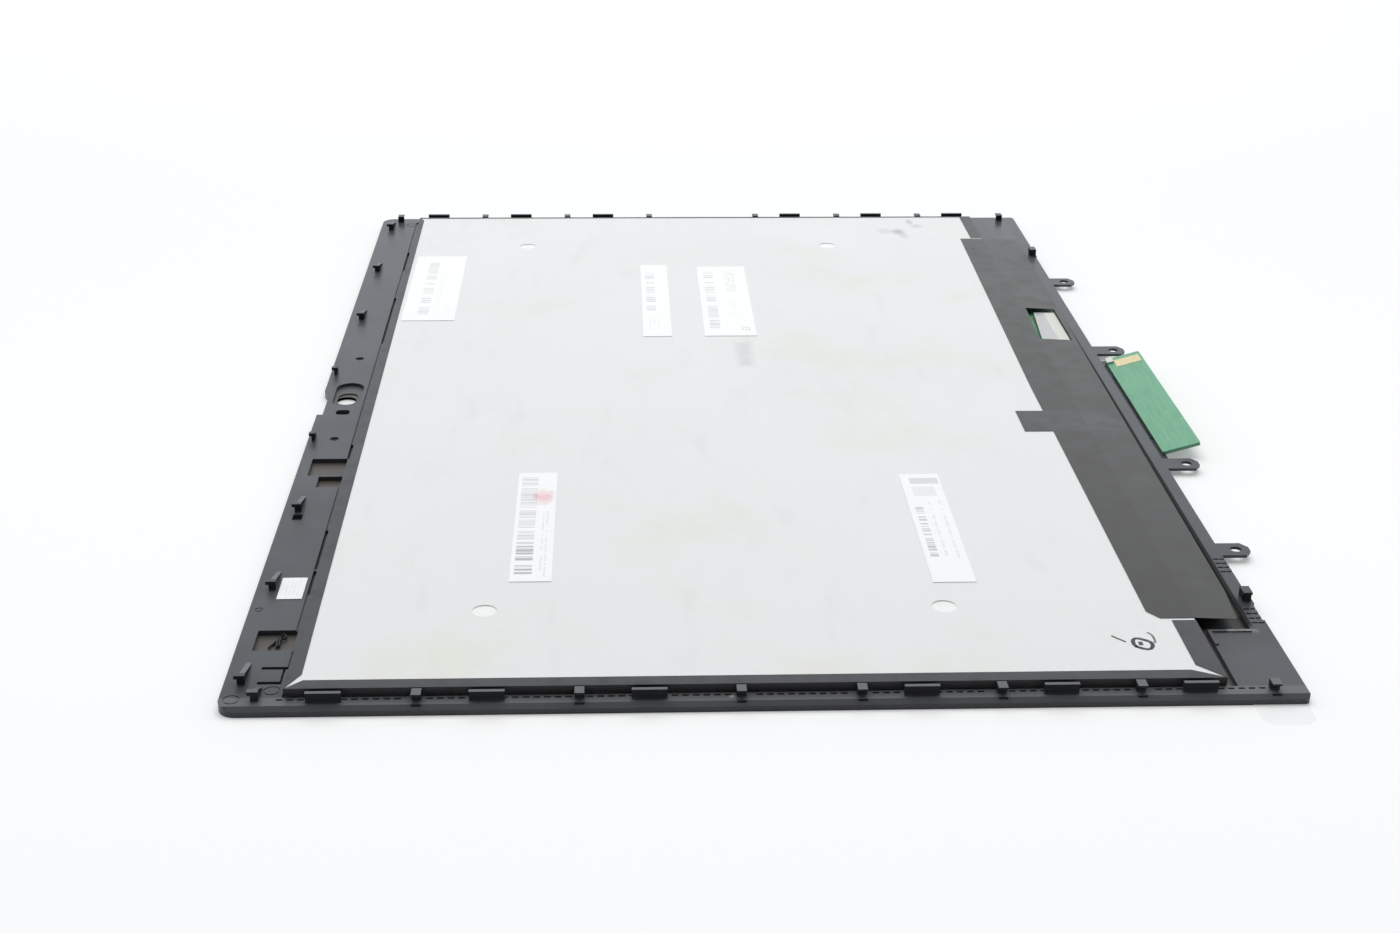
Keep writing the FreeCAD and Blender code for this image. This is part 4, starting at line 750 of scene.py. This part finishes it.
def pick(piece, test, kind="verts"):
    """In edit mode, selects what passes the test by its middle, and nothing else."""
    bpy.ops.mesh.select_all(action="DESELECT")
    mesh = bmesh.from_edit_mesh(piece.data)
    mesh.select_mode = {kind[:-1].upper()}
    for part in getattr(mesh, kind):
        if kind == "verts":
            middle = part.co
        elif kind == "edges":
            middle = (part.verts[0].co + part.verts[1].co) / 2
        else:
            middle = part.calc_center_median()
        if test(middle):
            part.select = True
    mesh.select_flush_mode()
    bmesh.update_edit_mesh(piece.data)


def end(piece, material):
    """Leaves edit mode, puts the place into the mesh, and hands the piece to the frame."""
    if piece.mode != "OBJECT":
        bpy.ops.object.mode_set(mode="OBJECT")
    bpy.ops.object.select_all(action="DESELECT")
    piece.select_set(True)
    bpy.context.view_layer.objects.active = piece
    bpy.ops.object.transform_apply(location=True, rotation=True, scale=True)
    piece.data.materials.clear()
    piece.data.materials.append(material)
    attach(piece, BODY)
    return piece


def apply_modifier(piece, kind, **settings):
    """Adds a modifier, sets it up and applies it."""
    bpy.context.view_layer.objects.active = piece
    made = piece.modifiers.new(kind.title(), kind)
    for key, value in settings.items():
        setattr(made, key, value)
    bpy.ops.object.modifier_apply(modifier=made.name)


def heading_of(step):
    """Heading of a step seen from above."""
    return math.atan2(step.y, step.x)


def drag(points, place, widths=None):
    """In edit mode, extrudes what is selected at a place along the points, turning and scaling it."""
    heading = heading_of(points[1] - points[0])
    for number, stop in enumerate(points[1:], 1):
        bpy.ops.mesh.extrude_region_move(TRANSFORM_OT_translate={"value": stop - place})
        turned = heading_of(stop - points[number - 1])
        bend = (turned - heading + math.pi) % (2 * math.pi) - math.pi
        bpy.ops.transform.rotate(value=-bend, orient_axis="Z", center_override=stop)
        if widths:
            share = widths[number] / widths[number - 1]
            bpy.ops.transform.resize(value=(share, share, share), center_override=stop)
        heading, place = turned, stop


def laid(line, height):
    """The points of a line given in millimetres, at a height in metres."""
    return [Vector((x * MM, y * MM, height)) for x, y in line]


class TOUCHSCREEN_OT_dress_bezel(bpy.types.Operator):
    """Give the moulded frame its black plastic"""

    bl_idname = "touchscreen.dress_bezel"
    bl_label = "Dress Bezel"

    def execute(self, context):
        look = context.scene.touchscreen_colours
        give(["bezel_frame"], moulded_plastic(look))
        return {"FINISHED"}


class TOUCHSCREEN_OT_dress_module(bpy.types.Operator):
    """Give the display module its metal plate, tapes, film and reflector"""

    bl_idname = "touchscreen.dress_module"
    bl_label = "Dress Module"

    def execute(self, context):
        look = context.scene.touchscreen_colours
        give(["back_plate"], rolled_metal(look))
        tapes = [
            "camera_edge_tape", "near_edge_tape", "far_edge_tape", "lower_near_tape", "lower_far_tape",
            "bezel_bond_tape", "driver_board_tape",
        ]
        give(tapes, polyester_tape(look))
        give(["board_cover_film"], board_film(look))
        give(["reflector_sheet"], white_sheet(look, "reflector_white", 0.5))
        return {"FINISHED"}


class TOUCHSCREEN_OT_dress_stack(bpy.types.Operator):
    """Give the cover glass and the sealed display stack their finishes"""

    bl_idname = "touchscreen.dress_stack"
    bl_label = "Dress Display Stack"

    def execute(self, context):
        look = context.scene.touchscreen_colours
        give(["cover_glass"], printed_glass(look))
        cell = inner_sheet("cell_glass", (0.10, 0.13, 0.12), (0.14, 0.17, 0.16), 0.08)
        give(["colour_filter_glass", "tft_glass"], cell)
        give(["optical_bond"], inner_sheet("clear_adhesive", (0.50, 0.50, 0.47), look.clear, 0.2))
        dark = inner_sheet("polarizer", (0.03, 0.03, 0.035), (0.05, 0.05, 0.055), 0.2)
        give(["front_polarizer", "rear_polarizer"], dark)
        sheet = inner_sheet("optical_sheet", (0.70, 0.71, 0.72), look.clear, 0.4)
        give(["prism_sheet_outer", "prism_sheet_inner", "diffuser_sheet"], sheet)
        give(["light_guide"], inner_sheet("guide_acrylic", (0.72, 0.76, 0.78), look.clear, 0.06))
        give(["panel_frame"], inner_sheet("frame_plastic", look.bezel, look.bezel_worn, 0.45))
        give(["led_bar"], white_sheet(look, "lamp_white", 0.35))
        return {"FINISHED"}


class TOUCHSCREEN_OT_dress_boards(bpy.types.Operator):
    """Give the boards, flexes, chips and connectors their finishes"""

    bl_idname = "touchscreen.dress_boards"
    bl_label = "Dress Boards"

    def execute(self, context):
        look = context.scene.touchscreen_colours
        give(["driver_board", "touch_board"], solder_mask(look))
        give(["ground_pad"], plated_gold(look))
        give(["display_connector", "touch_connector"], connector_moulding(look))
        give(["connector_shell"], pressed_steel(look))
        give(["timing_controller", "touch_controller"], chip_epoxy(look))
        give(["power_inductor"], ferrite())
        give(["capacitors"], ceramic(look))
        columns = [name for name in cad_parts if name.startswith("column_flex")]
        give(columns, amber_flex(look))
        give(["touch_flex"], black_flex(look))
        return {"FINISHED"}


class TOUCHSCREEN_OT_print_labels(bpy.types.Operator):
    """Print generic bars on every label"""

    bl_idname = "touchscreen.print_labels"
    bl_label = "Print Labels"

    def execute(self, context):
        look = context.scene.touchscreen_colours
        for name in LABEL_PRINT:
            give([name], printed_label(look, name))
        return {"FINISHED"}


class TOUCHSCREEN_OT_add_front_film(bpy.types.Operator):
    """Lay the clear film with its pull tab on the glass"""

    bl_idname = "touchscreen.add_front_film"
    bl_label = "Add Front Film"

    def execute(self, context):
        look, sizes = context.scene.touchscreen_colours, context.scene.touchscreen_sizes
        low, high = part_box("front_film")
        edge_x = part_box("cover_glass")[0].x + FILM_INSET
        tab_y = low.y + TAB_WIDTH
        middle = ((edge_x + high.x) / 2, (low.y + high.y) / 2, sizes.film_lift)
        film = begin(bpy.ops.mesh.primitive_plane_add, "front_film_sheet", size=1.0, location=middle)
        film.scale = (high.x - edge_x, high.y - low.y, 1.0)
        bpy.ops.object.transform_apply(location=True, rotation=True, scale=True)
        bpy.ops.object.mode_set(mode="EDIT")
        bpy.ops.mesh.select_all(action="SELECT")
        bpy.ops.mesh.bisect(plane_co=(0.0, tab_y, 0.0), plane_no=(0.0, 1.0, 0.0))
        pick(film, lambda at: at.x < edge_x + PICK_SLACK and at.y < tab_y, "edges")
        reach = Vector((low.x - edge_x, 0.0, 0.0))
        bpy.ops.mesh.extrude_region_move(TRANSFORM_OT_translate={"value": reach})
        pick(film, lambda at: at.x < low.x + PICK_SLACK)
        bpy.ops.mesh.bevel(offset=sizes.tab_radius, segments=TAB_SEGMENTS, affect="VERTICES")
        bpy.ops.object.mode_set(mode="OBJECT")
        apply_modifier(film, "SOLIDIFY", thickness=sizes.film_thick, offset=1.0)
        end(film, clear_film(look))
        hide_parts("front_film")
        return {"FINISHED"}


class TOUCHSCREEN_OT_add_contacts(bpy.types.Operator):
    """Line the display connector with its contacts"""

    bl_idname = "touchscreen.add_contacts"
    bl_label = "Add Connector Contacts"

    def execute(self, context):
        sizes = context.scene.touchscreen_sizes
        low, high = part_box("display_connector")
        run = sizes.contact_pitch * (sizes.contact_count - 1)
        start = ((low.x + high.x - run) / 2, high.y + CONTACT_AHEAD, BOARD_BACK + CONTACT_LIFT)
        contact = begin(bpy.ops.mesh.primitive_cube_add, "connector_contacts", size=1.0, location=start)
        contact.scale = CONTACT_SIZE
        bpy.ops.object.transform_apply(location=False, rotation=False, scale=True)
        bpy.ops.object.mode_set(mode="EDIT")
        pick(contact, lambda at: at.y < PICK_SLACK / 2 - CONTACT_SIZE[1] / 2, "faces")
        bpy.ops.mesh.extrude_region_move(TRANSFORM_OT_translate={"value": CONTACT_RISE})
        bpy.ops.mesh.select_all(action="SELECT")
        bpy.ops.mesh.bevel(offset=CONTACT_BEVEL, segments=1, affect="EDGES")
        bpy.ops.object.mode_set(mode="OBJECT")
        apply_modifier(
            contact, "ARRAY", count=sizes.contact_count, use_relative_offset=False,
            use_constant_offset=True, constant_offset_displace=(sizes.contact_pitch, 0.0, 0.0),
        )
        end(contact, bpy.data.materials["gold_pad"])
        return {"FINISHED"}


# Runs of the adhesive strands in millimetres
STRAND_RUNS = (
    (
        (-125.1, 94.85), (-126.8, 94.9), (-128.0, 95.5), (-129.0, 95.95), (-129.9, 96.3),
        (-130.6, 96.7), (-131.4, 96.95),
    ),
    (
        (-128.0, 95.5), (-128.8, 95.6), (-129.8, 95.37), (-130.65, 95.47), (-131.2, 95.3),
        (-131.15, 95.0), (-130.4, 94.85), (-129.4, 94.95), (-128.4, 95.1), (-127.4, 94.9),
    ),
    (
        (-128.6, 94.93), (-128.1, 94.5), (-127.6, 94.1), (-127.2, 93.95), (-126.6, 94.1),
        (-126.2, 94.5), (-125.6, 94.9),
    ),
)


class TOUCHSCREEN_OT_add_strand(bpy.types.Operator):
    """Lay the stringy adhesive in the near window of the camera strip"""

    bl_idname = "touchscreen.add_strand"
    bl_label = "Add Adhesive Strand"

    def execute(self, context):
        wide = context.scene.touchscreen_sizes.strand_width
        rest = GLASS_BACK + wide * STRAND_REST
        strands = []
        for number, run in enumerate(STRAND_RUNS):
            points = laid(run, rest + number * wide * STRAND_STACK)
            widths = [wide * (0.8 + 0.12 * (k * 3 % 5)) for k in range(len(points))]
            strand = begin(
                bpy.ops.mesh.primitive_circle_add, "adhesive_strand_%d" % (number + 1),
                vertices=STRAND_SIDES, radius=widths[0] / 2, fill_type="NGON", location=points[0],
                rotation=(0.0, math.pi / 2, heading_of(points[1] - points[0])),
            )
            bpy.ops.object.transform_apply(location=True, rotation=True, scale=True)
            bpy.ops.object.mode_set(mode="EDIT")
            bpy.ops.mesh.select_all(action="SELECT")
            drag(points, points[0], widths)
            bpy.ops.mesh.select_all(action="SELECT")
            bpy.ops.mesh.normals_make_consistent(inside=False)
            bpy.ops.object.mode_set(mode="OBJECT")
            apply_modifier(strand, "SUBSURF", levels=2, render_levels=2)
            bpy.ops.object.shade_smooth()
            strands.append(strand)
        finish = adhesive()
        for strand in strands:
            end(strand, finish)
        return {"FINISHED"}


# Lines of the pen strokes in millimetres
PEN_TAIL = ((-134.6, -69.5), (-135.4, -70.2), (-136.2, -70.95), (-137.0, -71.65))
PEN_LOOP = (
    (-139.1, -73.5), (-139.75, -74.4), (-140.1, -75.3), (-139.8, -76.0), (-138.9, -76.55),
    (-137.9, -76.7), (-137.1, -76.5), (-136.55, -75.9), (-136.0, -75.1), (-135.6, -74.35),
    (-135.7, -73.7), (-136.3, -73.25), (-137.1, -73.05), (-138.2, -73.05), (-139.0, -73.4),
)
PEN_DOT = ((-137.4, -74.45), (-137.9, -74.45), (-138.4, -74.45))
PEN_HOOK = (
    (-133.4, -76.95), (-133.75, -77.25), (-134.5, -77.5), (-135.4, -77.6), (-136.5, -77.55),
    (-137.5, -77.35),
)


class TOUCHSCREEN_OT_add_pen_marks(bpy.types.Operator):
    """Draw the pen marks on the back plate"""

    bl_idname = "touchscreen.add_pen_marks"
    bl_label = "Add Pen Marks"

    def execute(self, context):
        look, sizes = context.scene.touchscreen_colours, context.scene.touchscreen_sizes
        dark = ink(look, "pen_dark", look.pen_ink, 0.10)
        pale = ink(look, "pen_pale", (0.12, 0.12, 0.14), 0.35)
        wide, thin = sizes.pen_width, sizes.pen_width * THIN_PEN
        strokes = (
            ("pen_tail", PEN_TAIL, thin, dark), ("pen_loop", PEN_LOOP, wide, dark),
            ("pen_dot", PEN_DOT, wide, dark), ("pen_hook", PEN_HOOK, thin, pale),
        )
        for name, line, width, finish in strokes:
            self.stroke(name, line, width, finish, sizes.ink_lift)
        return {"FINISHED"}

    def stroke(self, name, line, width, finish, lift):
        points = laid(line, PLATE_BACK + lift)
        stroke = begin(bpy.ops.mesh.primitive_plane_add, name, size=width, location=points[0])
        bpy.ops.object.transform_apply(location=True, rotation=True, scale=True)
        bpy.ops.object.mode_set(mode="EDIT")
        first = points[1] - points[0]
        ahead = first.normalized()
        bpy.ops.mesh.select_all(action="SELECT")
        bpy.ops.transform.rotate(value=-heading_of(first), orient_axis="Z", center_override=points[0])
        pick(stroke, lambda at: (at - points[0]).dot(ahead) > width * 0.3, "edges")
        drag(points, points[0] + ahead * (width / 2))
        bpy.ops.object.mode_set(mode="OBJECT")
        apply_modifier(stroke, "SOLIDIFY", thickness=lift, offset=-1.0)
        end(stroke, finish)


class TOUCHSCREEN_OT_set_stage(bpy.types.Operator):
    """Set up the floor, the light and the camera"""

    bl_idname = "touchscreen.set_stage"
    bl_label = "Set Stage"

    def execute(self, context):
        stage = context.scene.touchscreen_stage
        floor = begin(bpy.ops.mesh.primitive_plane_add, "studio_floor", size=stage.floor_size)
        floor.data.materials.append(floor_finish(stage))
        self.light(context, stage)
        turn = (
            Matrix.Rotation(stage.yaw - math.pi / 2, 4, "Z")
            @ Matrix.Rotation(stage.pitch + math.pi / 2, 4, "X")
            @ Matrix.Rotation(stage.roll, 4, "Z")
        )
        bpy.ops.object.camera_add()
        camera = context.object
        camera.name = "photo_camera"
        camera.matrix_world = Matrix.Translation(stage.eye) @ turn
        camera.data.sensor_fit = "HORIZONTAL"
        camera.data.sensor_width = SENSOR_WIDTH
        camera.data.lens = stage.lens
        camera.data.clip_start = 0.01
        camera.data.dof.use_dof = False
        context.scene.camera = camera
        context.scene.view_settings.view_transform = "Standard"
        return {"FINISHED"}

    def light(self, context, stage):
        world = bpy.data.worlds.new("studio")
        context.scene.world = world
        world.use_nodes = True
        f = Finish("studio", world.node_tree)
        heading = f.node("TexCoord", output="Generated")
        x, z = f.node("SeparateXYZ", None, {0: heading}, ("X", "Z"))
        far = f.step(x, *FAR_SIDE)
        low = far * (1.0 - f.step(z, *LOW_DOWN))
        level = stage.room + far * (stage.backdrop - stage.room) + low * stage.horizon
        seen = f.node("LightPath", output="Is Camera Ray")
        level = level + seen * (1.0 - level)
        tint = f.mix((0.985, 0.99, 1.0), (0.87, 0.94, 1.0), low * (1.0 - seen))
        sky = f.node("Background", None, {"Color": tint, "Strength": level})
        f.node("OutputWorld", None, {"Surface": sky})
        bpy.ops.object.light_add(type="AREA", location=KEY_PLACE)
        key = context.object
        key.name = "overhead_softbox"
        key.data.shape = "RECTANGLE"
        key.data.size, key.data.size_y = KEY_SIZE
        key.data.energy = stage.key_power
        key.visible_glossy = False
        key.rotation_euler = (-key.location).to_track_quat("-Z", "Y").to_euler()


OPERATORS = (
    TOUCHSCREEN_OT_dress_bezel,
    TOUCHSCREEN_OT_dress_module,
    TOUCHSCREEN_OT_dress_stack,
    TOUCHSCREEN_OT_dress_boards,
    TOUCHSCREEN_OT_print_labels,
    TOUCHSCREEN_OT_add_front_film,
    TOUCHSCREEN_OT_add_contacts,
    TOUCHSCREEN_OT_add_strand,
    TOUCHSCREEN_OT_add_pen_marks,
    TOUCHSCREEN_OT_set_stage,
)


class TOUCHSCREEN_PT_sidebar(bpy.types.Panel):
    """Lists the touchscreen's colours, sizes and operators"""

    bl_idname = "TOUCHSCREEN_PT_sidebar"
    bl_label = "Touchscreen"
    bl_space_type = "VIEW_3D"
    bl_region_type = "UI"
    bl_category = "Touchscreen"

    def draw(self, context):
        scene = context.scene
        for group in (scene.touchscreen_colours, scene.touchscreen_sizes, scene.touchscreen_stage):
            box = self.layout.box()
            for key in group.bl_rna.properties.keys():
                if key not in ("rna_type", "name"):
                    box.prop(group, key)
        for operator in OPERATORS:
            self.layout.operator(operator.bl_idname)


GROUPS = (TouchscreenColours, TouchscreenSizes, TouchscreenStage)
CLASSES = (*GROUPS, *OPERATORS, TOUCHSCREEN_PT_sidebar)


def register():
    for item in CLASSES:
        bpy.utils.register_class(item)
    bpy.types.Scene.touchscreen_colours = PointerProperty(type=TouchscreenColours)
    bpy.types.Scene.touchscreen_sizes = PointerProperty(type=TouchscreenSizes)
    bpy.types.Scene.touchscreen_stage = PointerProperty(type=TouchscreenStage)


def unregister():
    del bpy.types.Scene.touchscreen_colours
    del bpy.types.Scene.touchscreen_sizes
    del bpy.types.Scene.touchscreen_stage
    for item in reversed(CLASSES):
        bpy.utils.unregister_class(item)


def main():
    register()
    for operator in OPERATORS:
        group, call = operator.bl_idname.split(".")
        getattr(getattr(bpy.ops, group), call)()


if __name__ == "__main__":
    main()
